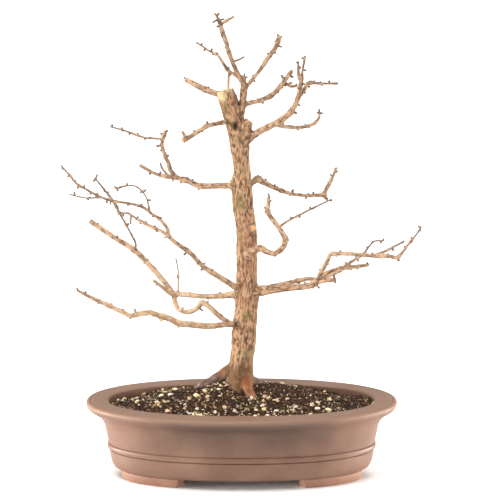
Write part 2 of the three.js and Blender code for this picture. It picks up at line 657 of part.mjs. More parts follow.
/** A square of plastic mesh: its bars in both directions, moulded as one. */
function meshSolid(x) {
  const bars = [];
  for (let k = 0; k <= meshOpenings; k += 1) {
    const place = (k - meshOpenings / 2) * meshPitch;
    const lengthwise = new THREE.BoxGeometry(meshSize, meshBar, meshThickness);
    const crosswise = new THREE.BoxGeometry(meshBar, meshSize, meshThickness);
    lengthwise.translate(x, place, meshBottom + meshThickness / 2);
    crosswise.translate(x + place, 0, meshBottom + meshThickness / 2);
    bars.push(toSolid(lengthwise), toSolid(crosswise));
  }
  return wasm.Manifold.union(bars).simplify(crumb);
}

/** The wire staple: over the mesh, down through the hole and out under the floor. */
function stapleSolid(x) {
  const bend = 2;
  const curve = routeOf([
    [x - stapleToe, 0, stapleToeHeight],
    [x - stapleHalfSpan - bend, 0, stapleToeHeight],
    [x - stapleHalfSpan, 0, stapleToeHeight + bend],
    [x - stapleHalfSpan, 0, stapleBridge - bend],
    [x - stapleHalfSpan + bend, 0, stapleBridge],
    [x, 0, stapleBridge],
    [x + stapleHalfSpan - bend, 0, stapleBridge],
    [x + stapleHalfSpan, 0, stapleBridge - bend],
    [x + stapleHalfSpan, 0, stapleToeHeight + bend],
    [x + stapleHalfSpan + bend, 0, stapleToeHeight],
    [x + stapleToe, 0, stapleToeHeight],
  ]);
  return toSolid(tube(curve, evenPlaces(stapleSteps), wireSides, () => stapleWire, true));
}

const bonsai = new THREE.Group();
bonsai.add(
  makePiece('pot', potSolid(), 0x9c7c6c, 0.8, 0),
  makePiece('soil', soilSolid(), 0x5a4a36, 0.95, 0),
  makePiece('tree', treeSolid(), 0xa5805c, 0.85, 0),
  makePiece('drain_mesh_left', meshSolid(-drainOffset), 0x2a2c2a, 0.6, 0),
  makePiece('drain_mesh_right', meshSolid(drainOffset), 0x2a2c2a, 0.6, 0),
  makePiece('drain_staple_left', stapleSolid(-drainOffset), 0x9a938c, 0.4, 0.9),
  makePiece('drain_staple_right', stapleSolid(drainOffset), 0x9a938c, 0.4, 0.9),
);

export default bonsai;
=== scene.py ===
import math
import random

import bmesh
import bpy
import numpy as np
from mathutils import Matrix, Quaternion, Vector, noise
from mathutils.kdtree import KDTree


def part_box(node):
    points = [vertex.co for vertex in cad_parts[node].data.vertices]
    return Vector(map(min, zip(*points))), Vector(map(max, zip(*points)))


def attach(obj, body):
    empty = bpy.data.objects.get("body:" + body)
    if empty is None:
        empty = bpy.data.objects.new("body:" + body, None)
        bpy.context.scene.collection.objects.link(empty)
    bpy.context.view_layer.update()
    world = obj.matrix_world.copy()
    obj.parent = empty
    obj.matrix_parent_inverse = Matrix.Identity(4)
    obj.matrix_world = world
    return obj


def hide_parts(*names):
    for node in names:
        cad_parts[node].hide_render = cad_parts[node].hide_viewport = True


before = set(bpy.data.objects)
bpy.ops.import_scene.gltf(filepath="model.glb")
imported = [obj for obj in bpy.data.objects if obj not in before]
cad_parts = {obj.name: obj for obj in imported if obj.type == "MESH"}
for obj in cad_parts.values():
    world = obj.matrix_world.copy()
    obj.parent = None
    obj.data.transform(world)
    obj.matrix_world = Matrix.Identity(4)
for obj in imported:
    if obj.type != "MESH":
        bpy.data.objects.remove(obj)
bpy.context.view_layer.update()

# CAMERA. It stands three metres in front of the bonsai, a little above it, with a long lens, and sees
# the whole tree and its pot.
MM = 0.001
VIEW_AIM = Vector((9.7, 0.0, 267.44)) * MM
VIEW_DISTANCE = 3.0
VIEW_RISE = math.radians(11.665)
VIEW_LENS = 188.7
VIEW_SENSOR = 36.0
VIEW_FARTHEST = 200

scene = bpy.context.scene
camera = bpy.data.objects.new("camera", bpy.data.cameras.new("camera"))
scene.collection.objects.link(camera)
camera.location = VIEW_AIM + VIEW_DISTANCE * Vector((0, -math.cos(VIEW_RISE), math.sin(VIEW_RISE)))
camera.rotation_euler = (VIEW_AIM - camera.location).to_track_quat("-Z", "Y").to_euler()
camera.data.lens = VIEW_LENS
camera.data.sensor_width = VIEW_SENSOR
camera.data.clip_end = VIEW_FARTHEST
scene.camera = camera


# STUDIO. A wide white light table stands under an even white sky. It glows everywhere but under the
# pot, where the missing glow is a painted shadow. A softbox high in front gives the pot's lip part of
# its shadow, and the rest is painted on the clay. Low strip lights stand on the table at both sides of
# the pot, so its ends are lighter than its middle.
TABLE_SIZE = 60.0
TABLE_WHITE = "f7f6f4"
TABLE_ROUGHNESS = 0.9
TABLE_GLOW = 0.4
# The half length and half width of the painted shadow under the pot, where the table doesn't glow,
# in metres, and where its soft edge begins and ends, as shares of them
TABLE_SHADOW_HALF = (0.15, 0.075)
TABLE_SHADOW_EDGE = (0.92, 1.04)
SKY_STRENGTH = 0.72
# Where each softbox hangs, what it points at, its width and height, its watts and its spread in degrees
SOFTBOXES = (
    ((-1.3, 0.25, 0.05), (0, 0.02, 0.05), (0.8, 0.1), 0.3, 8),
    ((-1.3, -0.2, 0.05), (0, -0.05, 0.05), (0.8, 0.1), 0.3, 8),
    ((1.3, 0.25, 0.05), (0, 0.02, 0.05), (0.8, 0.1), 0.5, 8),
    ((1.3, -0.2, 0.05), (0, -0.05, 0.05), (0.8, 0.1), 0.1, 8),
    ((-3.3, -0.8, 0.35), (0, 0, 0.05), (0.9, 0.9), 1.6, 12),
    ((3.4, -0.3, 0.35), (0, 0, 0.05), (0.7, 0.7), 0.5, 12),
    ((-0.6, -1.5, 3.4), (0, 0, 0.1), (1.4, 1.4), 4.6, 30),
    ((0.0, 4.6, 5.0), (0, 4.6, 0), (8.0, 8.0), 110.0, 70),
)


def linear(colour):
    """A linear colour with alpha from sRGB hex digits."""
    parts = [int(colour[i:i + 2], 16) / 255 for i in (0, 2, 4)]
    return [c / 12.92 if c <= 0.04045 else ((c + 0.055) / 1.055) ** 2.4 for c in parts] + [1.0]


def connect(tree, node, links):
    """Gives inputs of a node a value, a socket or a node, whose first output is then used."""
    for key, value in links.items():
        named = [s for s in node.inputs if s.name == key and s.enabled]
        socket = node.inputs[key] if isinstance(key, int) else named[0]
        if isinstance(value, bpy.types.Node):
            value = [s for s in value.outputs if s.enabled][0]
        if isinstance(value, bpy.types.NodeSocket):
            tree.links.new(value, socket)
        else:
            socket.default_value = value


def add(tree, kind, links=(), stops=(), **settings):
    """Adds a node with its settings, its inputs and the stops of its ramp."""
    made = tree.nodes.new(kind)
    for key, value in settings.items():
        setattr(made, key, value)
    if stops:
        ramp = made.color_ramp
        while len(ramp.elements) < len(stops):
            ramp.elements.new(1)
        for element, (place, colour) in zip(ramp.elements, stops):
            element.position = place
            element.color = linear(colour)
    connect(tree, made, dict(links))
    return made


def new_material(name):
    """An empty material, with its tree, its shader and its output."""
    made = bpy.data.materials.new(name)
    made.use_nodes = True
    tree = made.node_tree
    tree.nodes.clear()
    shader = add(tree, "ShaderNodeBsdfPrincipled")
    add(tree, "ShaderNodeOutputMaterial", {"Surface": shader})
    return made, tree, shader


def new_object(name, points, faces, material):
    """An object at the origin from points in millimetres and faces."""
    mesh = bpy.data.meshes.new(name)
    mesh.from_pydata([[c * MM for c in p] for p in points], [], faces)
    mesh.materials.append(material)
    made = bpy.data.objects.new(name, mesh)
    scene.collection.objects.link(made)
    return made


# The corners of a square round the origin
SQUARE = ((-1, -1), (1, -1), (1, 1), (-1, 1))

white, white_tree, white_shader = new_material("matt_white_paint")
# Matt paint over a lit sheet, which glows everywhere but under the pot, where the missing glow
# paints the pot's shadow
white_place = add(white_tree, "ShaderNodeTexCoord").outputs["Object"]
shadow_oval = add(white_tree, "ShaderNodeVectorMath", {0: white_place, 1: (*TABLE_SHADOW_HALF, 1)},
                 operation="DIVIDE")
shadow_reach = add(white_tree, "ShaderNodeVectorMath", {0: shadow_oval}, operation="LENGTH")
glow_round_painted_shadow = add(white_tree, "ShaderNodeMapRange",
                 {"Value": shadow_reach, "From Min": TABLE_SHADOW_EDGE[0], "From Max": TABLE_SHADOW_EDGE[1],
                  "To Max": TABLE_GLOW})
connect(white_tree, white_shader,
        {"Base Color": linear(TABLE_WHITE), "Roughness": TABLE_ROUGHNESS,
         "Emission Color": linear(TABLE_WHITE), "Emission Strength": glow_round_painted_shadow})
half = TABLE_SIZE / MM / 2
studio_floor = new_object("studio_floor", [(half * x, half * y, 0) for x, y in SQUARE],
                          [(0, 1, 2, 3)], white)

world = bpy.data.worlds.new("studio")
scene.world = world
world.use_nodes = True
connect(world.node_tree, world.node_tree.nodes["Background"],
        {"Color": (1, 1, 1, 1), "Strength": SKY_STRENGTH})
for place, target, size, power, spread in SOFTBOXES:
    lamp = bpy.data.objects.new("softbox", bpy.data.lights.new("softbox", "AREA"))
    lamp.data.shape = "RECTANGLE"
    lamp.data.size, lamp.data.size_y = size
    lamp.data.energy = power
    lamp.data.spread = math.radians(spread)
    lamp.location = place
    lamp.rotation_euler = (Vector(target) - lamp.location).to_track_quat("-Z", "Y").to_euler()
    lamp.visible_camera = False
    scene.collection.objects.link(lamp)
scene.view_settings.view_transform = "Standard"


# POT. One piece of unglazed brown stoneware, pressed in a mould and fired: a broad flat lip with a
# rolled edge, a raised ribbon round the wall, a tucked-in foot line and four bracket feet.
POT_HALF_LENGTH = 180
POT_HALF_WIDTH = 100
OVAL_POWER = 2.15
POT_SEGMENTS = 288
POT_CRISPEST = 32
CURVE_STEPS = 24
RIM_TOP = 91.5
FLOOR_UNDER = 9.5
FLOOR_TOP = 17
# Stretches of the section, each a smooth curve of [inset from the widest line, height], with a
# crisp corner where one ends and the next begins, and the number of its steps
POT_SECTION = (
    ([[46, FLOOR_UNDER], [41.5, 9.7], [37, 10.6], [32.2, 13.4], [29.3, 18.2], [27.5, 25],
      [26.2, 33.5]], 22),
    ([[26.2, 33.5], [27.3, 34.2], [26.2, 34.9]], 4),
    ([[26.2, 34.9], [24.9, 35.1], [24.3, 35.8]], 4),
    ([[24.3, 35.8], [24, 37.9], [24.2, 40]], 5),
    ([[24.2, 40], [24.5, 40.8], [25.2, 41.3]], 4),
    ([[25.2, 41.3], [25.7, 41.7], [25.3, 42.4]], 4),
    ([[25.3, 42.4], [24.6, 45.6], [23.9, 49], [22.3, 57], [20.4, 65], [17, 71], [12.4, 75.6],
      [7, 79]], 26),
    ([[7, 79], [4.3, 80.8], [1.9, 83.1], [0.4, 86], [0, 88], [0.6, 89.8], [2, 90.9], [4.3, 91.2]], 18),
    ([[4.3, 91.2], [4.9, 90.6], [5.6, 91.1]], 4),
    ([[5.6, 91.1], [7, RIM_TOP], [14, RIM_TOP], [22, RIM_TOP], [24.8, 91.2], [26, 90]], 12),
    ([[26, 90], [26.6, 87], [28.6, 70], [31, 45], [33.6, 26], [36.5, 19.5], [44, FLOOR_TOP]], 22),
)
FOOT_OUTER_INSET = 36.8
FOOT_DEPTH = 15
FOOT_FROM_X = 72
FOOT_TO_X = 140.5
FOOT_STEPS = 26
FOOT_SINK = 1.0
# How much smaller a foot is where it stands, and the shares of that on its outside, ends and inside
FOOT_TAPER = 2.2
FOOT_TAPER_OUT = 0.6
FOOT_TAPER_ENDS = 1.6
FOOT_TAPER_IN = 0.3
FOOT_EDGE = 0.6
FOOT_EDGE_STEPS = 3
FOOT_CRISPEST = 40
DRAIN_OFFSET = 72
DRAIN_RADIUS = 10.5
DRAIN_SIDES = 56
CLAY_MID = "71513f"
CLAY_PALE = "7e5e4b"
CLAY_DEEP = "684938"
# The lip's colour, paler than the wall to paint the top light's sheen on it
CLAY_LIP_SHEEN = "876753"
CLAY_SPECK = "4d372f"
# Sizes of the kiln's mottle, the grog and the iron specks in millimetres
MOTTLE_SIZE = 42
GROG_SIZE = 1.1
SPECK_SIZE = 2.6
# The heights between which the lip's painted sheen begins, the painted shadow under the lip darkens and
# ends, and the painted light on the feet ends
LIP_SHEEN_FROM, LIP_SHEEN_FULL = 84, 88
LIP_SHADOW_FROM, LIP_SHADOW_FULL = 42, 76
LIP_SHADOW_ENDS, LIP_SHADOW_GONE = 78, 91
FEET_LIT_TO, FEET_LIT_GONE = 9, 12
# How far from the pot's middle the painted shadow under the lip begins to fade along it, and how far it is
# gone
LIP_SHADOW_NEAR, LIP_SHADOW_FAR = 60, 118


def smooth_route(path, count):
    """count + 1 evenly spaced points on the centripetal curve through a path, and its length."""
    knots = [np.array(p, dtype=float) for p in path]
    knots = [2 * knots[0] - knots[1]] + knots + [2 * knots[-1] - knots[-2]]
    dense = []
    for k in range(1, len(knots) - 2):
        a, b, c, d = knots[k - 1:k + 3]
        before, here, after = (np.linalg.norm(q - p) ** 0.5 for p, q in ((a, b), (b, c), (c, d)))
        leave = ((b - a) / before - (c - a) / (before + here) + (c - b) / here) * here
        arrive = ((c - b) / here - (d - b) / (here + after) + (d - c) / after) * here
        for t in np.linspace(0, 1, CURVE_STEPS, endpoint=False):
            dense.append(b + leave * t + (3 * (c - b) - 2 * leave - arrive) * t ** 2
                         + (2 * (b - c) + leave + arrive) * t ** 3)
    dense = np.array(dense + [knots[-2]])
    gone = np.concatenate([[0], np.cumsum(np.linalg.norm(np.diff(dense, axis=0), axis=1))])
    wanted = np.linspace(0, gone[-1], count + 1)
    return np.stack([np.interp(wanted, gone, axis) for axis in dense.T], axis=1), gone[-1]


def oval_point(reach, angle):
    """The point of the pot's oval at this reach along its length, in the direction of an angle."""
    def fuller(value):
        return math.copysign(abs(value) ** (2 / OVAL_POWER), value)
    across = max(reach - (POT_HALF_LENGTH - POT_HALF_WIDTH), 0)
    return reach * fuller(math.cos(angle)), across * fuller(math.sin(angle))


def ring_faces(rings, sides):
    """Faces of a closed shell made of rings of points, one after the other, and then its two poles."""
    faces = []
    for k in range(rings - 1):
        for j in range(sides):
            n = (j + 1) % sides
            faces.append((k * sides + j, k * sides + n, (k + 1) * sides + n, (k + 1) * sides + j))
    last = (rings - 1) * sides
    for j in range(sides):
        n = (j + 1) % sides
        faces.append((rings * sides, n, j))
        faces.append((rings * sides + 1, last + j, last + n))
    return faces


def oval_shell(section, segments):
    """Points and faces of an oval dish turned from a section that closes on the axis."""
    points = []
    for inset, height in section:
        for j in range(segments):
            x, y = oval_point(POT_HALF_LENGTH - inset, 2 * math.pi * j / segments)
            points.append((x, y, height))
    points += [(0, 0, section[0][1]), (0, 0, section[-1][1])]
    return points, ring_faces(len(section), segments)


def prism_faces(count):
    """Faces of a closed prism made of a lower outline of points and then an upper one."""
    faces = [tuple(range(count))[::-1], tuple(range(count, 2 * count))]
    return faces + [(j, (j + 1) % count, count + (j + 1) % count, count + j) for j in range(count)]


def prism(outlines, heights):
    """Points and faces of a closed prism between a lower and an upper outline."""
    points = [(x, y, z) for outline, z in zip(outlines, heights) for x, y in outline]
    return points, prism_faces(len(outlines[0]))


def apply_modifiers(made):
    """Turns an object and its modifiers into a plain mesh."""
    graph = bpy.context.evaluated_depsgraph_get()
    result = bpy.data.meshes.new_from_object(made.evaluated_get(graph), depsgraph=graph)
    made.modifiers.clear()
    made.data = result


def join_solids(base, others, operation):
    """Joins or cuts closed solids with a base one and removes them."""
    group = bpy.data.collections.new("solids")
    for other in others:
        scene.collection.objects.unlink(other)
        group.objects.link(other)
    step = base.modifiers.new("join", "BOOLEAN")
    step.operation = operation
    step.solver = "MANIFOLD"
    step.operand_type = "COLLECTION"
    step.collection = group
    apply_modifiers(base)
    for other in others:
        bpy.data.objects.remove(other)
    bpy.data.collections.remove(group)


def shade_smooth(made, sharpest):
    """Smooth shading, with the edges that fold more than this many degrees kept crisp."""
    shape = bmesh.new()
    shape.from_mesh(made.data)
    limit = math.radians(sharpest)
    for face in shape.faces:
        face.smooth = True
    for edge in shape.edges:
        edge.smooth = len(edge.link_faces) != 2 or edge.calc_face_angle() < limit
    shape.to_mesh(made.data)
    shape.free()


clay, clay_tree, clay_shader = new_material("unglazed_brown_stoneware")
# Fired clay is matt, with a soft mottle from the kiln, fine grog and a few iron specks. A painted
# shadow darkens the wall under the lip and fades towards the pot's ends. The lip is painted paler for
# the top light's sheen, and the feet are painted paler for the light that they catch
clay_place = add(clay_tree, "ShaderNodeTexCoord").outputs["Object"]
clay_axes = add(clay_tree, "ShaderNodeSeparateXYZ", {"Vector": clay_place}).outputs
clay_mottle = add(clay_tree, "ShaderNodeTexNoise",
                  {"Vector": clay_place, "Scale": 1 / (MOTTLE_SIZE * MM), "Detail": 3.0, "Roughness": 0.55})
clay_tone = add(clay_tree, "ShaderNodeValToRGB", {"Fac": clay_mottle},
                stops=((0.3, CLAY_DEEP), (0.5, CLAY_MID), (0.72, CLAY_PALE)))
# Painted sheen: the lip is drawn paler where the top light catches it
clay_lip_sheen = add(clay_tree, "ShaderNodeMapRange",
               {"Value": clay_axes["Z"], "From Min": LIP_SHEEN_FROM * MM, "From Max": LIP_SHEEN_FULL * MM,
                "To Max": 0.85})
clay_sheened = add(clay_tree, "ShaderNodeMix",
                {"Factor": clay_lip_sheen, "A": clay_tone, "B": linear(CLAY_LIP_SHEEN)}, data_type="RGBA")
# Painted shadow of the lip: darker up the wall to under the lip, then gone on the lip and towards the ends
clay_shadow_under_lip = add(clay_tree, "ShaderNodeMapRange",
                 {"Value": clay_axes["Z"], "From Min": LIP_SHADOW_FROM * MM, "From Max": LIP_SHADOW_FULL * MM,
                  "To Min": 0.97, "To Max": 0.42})
clay_above_shadow = add(clay_tree, "ShaderNodeMapRange",
                 {"Value": clay_axes["Z"], "From Min": LIP_SHADOW_ENDS * MM, "From Max": LIP_SHADOW_GONE * MM})
clay_along = add(clay_tree, "ShaderNodeMath", {0: clay_axes["X"]}, operation="ABSOLUTE")
clay_shadow_fade = add(clay_tree, "ShaderNodeMapRange",
                {"Value": clay_along, "From Min": LIP_SHADOW_NEAR * MM, "From Max": LIP_SHADOW_FAR * MM,
                 "To Min": 0.4})
clay_shadow_spared = add(clay_tree, "ShaderNodeMath", {0: clay_above_shadow, 1: clay_shadow_fade}, operation="MAXIMUM")
clay_painted_shadow = add(clay_tree, "ShaderNodeMath", {0: clay_shadow_under_lip, 1: clay_shadow_spared}, operation="MAXIMUM")
# Painted light: the feet and the pot's lowest edge are drawn paler for the light that they catch
clay_feet_lit = add(clay_tree, "ShaderNodeMapRange",
                {"Value": clay_axes["Z"], "From Min": FEET_LIT_TO * MM, "From Max": FEET_LIT_GONE * MM,
                 "To Min": 1.6, "To Max": 1.0})
clay_painted_light_and_shade = add(clay_tree, "ShaderNodeMath", {0: clay_painted_shadow, 1: clay_feet_lit}, operation="MULTIPLY")
clay_painted_tone = add(clay_tree, "ShaderNodeVectorMath", {0: clay_sheened, "Scale": clay_painted_light_and_shade},
                   operation="SCALE")
clay_grog = add(clay_tree, "ShaderNodeTexNoise",
                {"Vector": clay_place, "Scale": 1 / (GROG_SIZE * MM), "Detail": 2.0, "Roughness": 0.7})
clay_grain = add(clay_tree, "ShaderNodeMapRange",
                 {"Value": clay_grog, "From Min": 0.3, "From Max": 0.7, "To Min": 0.86, "To Max": 1.12})
clay_grained = add(clay_tree, "ShaderNodeVectorMath", {0: clay_painted_tone, "Scale": clay_grain},
                   operation="SCALE")
clay_iron = add(clay_tree, "ShaderNodeTexNoise",
                {"Vector": clay_place, "Scale": 1 / (SPECK_SIZE * MM), "Detail": 1.0})
clay_spots = add(clay_tree, "ShaderNodeMapRange",
                 {"Value": clay_iron, "From Min": 0.72, "From Max": 0.76, "To Max": 0.55})
clay_colour = add(clay_tree, "ShaderNodeMix",
                  {"Factor": clay_spots, "A": clay_grained, "B": linear(CLAY_SPECK)}, data_type="RGBA")
clay_rough = add(clay_tree, "ShaderNodeMapRange",
                 {"Value": clay_mottle, "From Min": 0.3, "From Max": 0.7, "To Min": 0.46, "To Max": 0.6})
clay_bump = add(clay_tree, "ShaderNodeBump",
                {"Height": clay_grog, "Strength": 0.35, "Distance": 0.25 * MM})
connect(clay_tree, clay_shader, {"Base Color": clay_colour, "Roughness": clay_rough,
                                 "Specular IOR Level": 0.45, "Normal": clay_bump})

pot_section = []
for stretch, steps in POT_SECTION:
    places, _ = smooth_route(stretch, steps)
    pot_section += [tuple(p) for p in places[:-1]]
pot_section.append(tuple(POT_SECTION[-1][0][-1]))
pot = new_object("stoneware_pot", *oval_shell(pot_section, POT_SEGMENTS), clay)


def foot_end(x):
    """The oval's angle at which the outside of a foot has this x."""
    return math.acos((x / (POT_HALF_LENGTH - FOOT_OUTER_INSET)) ** (OVAL_POWER / 2))


feet = []
for side_x, side_y in ((1, 1), (-1, 1), (1, -1), (-1, -1)):
    start, stop = foot_end(FOOT_TO_X), foot_end(FOOT_FROM_X)
    outlines = []
    for taper in (FOOT_TAPER, 0):
        inset = FOOT_OUTER_INSET + taper * FOOT_TAPER_OUT
        turn = taper / POT_HALF_LENGTH * FOOT_TAPER_ENDS
        bend = np.linspace(start + turn, stop - turn, FOOT_STEPS + 1)
        outer = [oval_point(POT_HALF_LENGTH - inset, a) for a in bend]
        inner = [oval_point(POT_HALF_LENGTH - FOOT_OUTER_INSET - FOOT_DEPTH + taper * FOOT_TAPER_IN, a)
                 for a in bend[::-1]]
        outlines.append([(x * side_x, y * side_y) for x, y in outer + inner])
    points, faces = prism(outlines, (0, FLOOR_UNDER + FOOT_SINK))
    if side_x * side_y < 0:
        faces = [face[::-1] for face in faces]
    foot = new_object("foot", points, faces, clay)
    soften = foot.modifiers.new("soften", "BEVEL")
    soften.width = FOOT_EDGE * MM
    soften.segments = FOOT_EDGE_STEPS
    soften.limit_method = "ANGLE"
    soften.angle_limit = math.radians(FOOT_CRISPEST)
    apply_modifiers(foot)
    shade_smooth(foot, FOOT_CRISPEST)
    feet.append(foot)
join_solids(pot, feet, "UNION")

drills = []
for side in (-1, 1):
    turns = [2 * math.pi * j / DRAIN_SIDES for j in range(DRAIN_SIDES)]
    ring = [(side * DRAIN_OFFSET + DRAIN_RADIUS * math.cos(a), DRAIN_RADIUS * math.sin(a)) for a in turns]
    drills.append(new_object("drill", *prism((ring, ring), (0, 2 * FLOOR_TOP)), clay))
join_solids(pot, drills, "DIFFERENCE")
shade_smooth(pot, POT_CRISPEST)
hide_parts("pot")
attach(pot, "root")


# DRAIN SCREENS AND STAPLES. A square of moulded black plastic mesh lies over each drain hole and
# keeps the soil in. A bent aluminium wire goes over it and down through the hole, with its legs
# turned out under the pot.
# The gap left between pieces that lie on each other
CLEARANCE = 0.35
SCREEN_SIZE = 25.6
SCREEN_BOTTOM = FLOOR_TOP + CLEARANCE
SCREEN_THICK = 1.0
SCREEN_OPENINGS = 8
SCREEN_BAR = 0.8
WIRE_RADIUS = 0.8
WIRE_SIDES = 14
WIRE_STEPS = 90
WIRE_CRISPEST = 50
STAPLE_HALF_SPAN = 8
STAPLE_TOE = 17
STAPLE_TOE_HEIGHT = 6.6
STAPLE_BRIDGE = SCREEN_BOTTOM + SCREEN_THICK + CLEARANCE + WIRE_RADIUS
STAPLE_BEND = 2
PLASTIC_BLACK = "1f2120"
ALUMINIUM = "b9b4ac"
# How far apart the plastic's soft spots and the wire's scratches are in millimetres
SHEEN_SIZE = 3
SCRATCH_SIZE = 0.9

plastic, plastic_tree, plastic_shader = new_material("moulded_polypropylene")
# Polypropylene has a soft low sheen that wanders a little over the bars
plastic_place = add(plastic_tree, "ShaderNodeTexCoord").outputs["Object"]
plastic_sheen = add(plastic_tree, "ShaderNodeTexNoise",
                    {"Vector": plastic_place, "Scale": 1 / (SHEEN_SIZE * MM)})
plastic_rough = add(plastic_tree, "ShaderNodeMapRange",
                    {"Value": plastic_sheen, "To Min": 0.38, "To Max": 0.6})
connect(plastic_tree, plastic_shader, {"Base Color": linear(PLASTIC_BLACK), "Roughness": plastic_rough})

wire, wire_tree, wire_shader = new_material("annealed_aluminium_wire")
# Soft drawn wire: a dull metal with fine scratches along it
wire_place = add(wire_tree, "ShaderNodeTexCoord").outputs["Object"]
wire_scratch = add(wire_tree, "ShaderNodeTexNoise",
                   {"Vector": wire_place, "Scale": 1 / (SCRATCH_SIZE * MM)})
wire_rough = add(wire_tree, "ShaderNodeMapRange", {"Value": wire_scratch, "To Min": 0.3, "To Max": 0.55})
connect(wire_tree, wire_shader,
        {"Base Color": linear(ALUMINIUM), "Metallic": 1.0, "Roughness": wire_rough})


def new_tree(name, inputs, output):
    """A geometry tree with named inputs and one output, and the sockets that its inputs come from."""
    tree = bpy.data.node_groups.new(name, "GeometryNodeTree")
    for label, kind in inputs:
        tree.interface.new_socket(name=label, in_out="INPUT", socket_type="NodeSocket" + kind)
    tree.interface.new_socket(name=output, in_out="OUTPUT", socket_type="NodeSocketGeometry")
    return tree, add(tree, "NodeGroupInput").outputs


screen_tree, given = new_tree(
    "moulded_screen", (("Size", "Float"), ("Bar", "Float"), ("Thickness", "Float"), ("Openings", "Int"),
                       ("Centre", "Vector"), ("Material", "Material")), "Screen")
# A row of bars and the same row turned across it, as one moulding
bar_size = add(screen_tree, "ShaderNodeCombineXYZ",
               {"X": given["Size"], "Y": given["Bar"], "Z": given["Thickness"]})
bar_count = add(screen_tree, "ShaderNodeMath", {0: given["Openings"], 1: 1.0}, operation="ADD")
bar_reach = add(screen_tree, "ShaderNodeMath", {0: given["Size"], 1: given["Bar"]}, operation="SUBTRACT")
bar_end = add(screen_tree, "ShaderNodeMath", {0: bar_reach, 1: 0.5}, operation="MULTIPLY")
bar_start = add(screen_tree, "ShaderNodeMath", {0: bar_reach, 1: -0.5}, operation="MULTIPLY")
bar_line = add(screen_tree, "GeometryNodeMeshLine",
               {"Count": bar_count,
                "Start Location": add(screen_tree, "ShaderNodeCombineXYZ", {"Y": bar_start}),
                "Offset": add(screen_tree, "ShaderNodeCombineXYZ", {"Y": bar_end})}, mode="END_POINTS")
bar = add(screen_tree, "GeometryNodeMeshCube", {"Size": bar_size})
bar_row = add(screen_tree, "GeometryNodeInstanceOnPoints", {"Points": bar_line, "Instance": bar})
bar_cross = add(screen_tree, "GeometryNodeTransform",
                {"Geometry": bar_row, "Rotation": (0, 0, math.pi / 2)})
bar_both = add(screen_tree, "GeometryNodeJoinGeometry", {"Geometry": bar_row})
connect(screen_tree, bar_both, {"Geometry": bar_cross})
bar_solid = add(screen_tree, "GeometryNodeRealizeInstances", {0: bar_both})
bar_moved = add(screen_tree, "GeometryNodeTransform",
                {"Geometry": bar_solid, "Translation": given["Centre"]})
bar_done = add(screen_tree, "GeometryNodeSetMaterial",
               {"Geometry": bar_moved, "Material": given["Material"]})
add(screen_tree, "NodeGroupOutput", {"Screen": bar_done})


def grow(name, tree, values, start=None):
    """A plain mesh object made by a geometry tree, with its named inputs given these values."""
    made = bpy.data.objects.new(name, start or bpy.data.meshes.new(name))
    scene.collection.objects.link(made)
    step = made.modifiers.new("grow", "NODES")
    step.node_group = tree
    for item in tree.interface.items_tree:
        if item.in_out == "INPUT" and item.name in values:
            step[item.identifier] = values[item.name]
    apply_modifiers(made)
    return made


def directions(centres):
    """The direction of a route at each of its points."""
    heads = np.gradient(centres, axis=0)
    return heads / np.linalg.norm(heads, axis=1)[:, None]


def rings_round(centres, heads, reaches):
    """Rings of points round a route, one after the other. Each point has its own reach."""
    normal = np.array((0.0, 1.0, 0.0) if abs(heads[0][0]) > abs(heads[0][1]) else (1.0, 0.0, 0.0))
    angles = np.linspace(0, 2 * math.pi, reaches.shape[1], endpoint=False)[:, None]
    cosines, sines = np.cos(angles), np.sin(angles)
    rings = []
    for centre, head, reach in zip(centres, heads, reaches):
        normal = normal - head * normal.dot(head)
        normal /= np.linalg.norm(normal)
        rings.append(centre + reach[:, None] * (cosines * normal + sines * np.cross(head, normal)))
    return np.concatenate(rings)


def tube_shell(centres, radius, sides):
    """Points and faces of a closed tube round a route."""
    rings = rings_round(centres, directions(centres), np.full((len(centres), sides), radius))
    return np.concatenate([rings, centres[:1], centres[-1:]]), ring_faces(len(centres), sides)


for side, word in ((-1, "left"), (1, "right")):
    middle = side * DRAIN_OFFSET
    screen = grow("plastic_screen_" + word, screen_tree, {
        "Size": SCREEN_SIZE * MM, "Bar": SCREEN_BAR * MM, "Thickness": SCREEN_THICK * MM,
        "Openings": SCREEN_OPENINGS, "Material": plastic,
        "Centre": (middle * MM, 0, (SCREEN_BOTTOM + SCREEN_THICK / 2) * MM)})
    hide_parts("drain_mesh_" + word)
    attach(screen, "root")
    half_route = [[STAPLE_TOE, STAPLE_TOE_HEIGHT],
                  [STAPLE_HALF_SPAN + STAPLE_BEND, STAPLE_TOE_HEIGHT],
                  [STAPLE_HALF_SPAN, STAPLE_TOE_HEIGHT + STAPLE_BEND],
                  [STAPLE_HALF_SPAN, STAPLE_BRIDGE - STAPLE_BEND],
                  [STAPLE_HALF_SPAN - STAPLE_BEND, STAPLE_BRIDGE]]
    route = [[middle - x, 0, z] for x, z in half_route] + [[middle, 0, STAPLE_BRIDGE]]
    route += [[middle + x, 0, z] for x, z in half_route[::-1]]
    places, _ = smooth_route(route, WIRE_STEPS)
    staple = new_object("wire_staple_" + word, *tube_shell(places, WIRE_RADIUS, WIRE_SIDES), wire)
    shade_smooth(staple, WIRE_CRISPEST)
    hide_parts("drain_staple_" + word)
    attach(staple, "root")


# SOIL. A free-draining mix heaped up to the trunk: a dark bed of fine bark, grit and loam, with pale
# pumice, bark chips and a little moss lying in it.
SOIL_EDGE = 86.5
MOUND_HEIGHT = 17
MOUND_CENTRE = (0, 8)
MOUND_SPREAD = (95, 48)
BED_PITCH = 1.5
BED_MARGIN = 20
BED_ROOM = ((44, FLOOR_TOP + CLEARANCE), (34.35, 24), (31.35, 45), (28.95, 70), (26.4, 90.4), (26.4, 110))
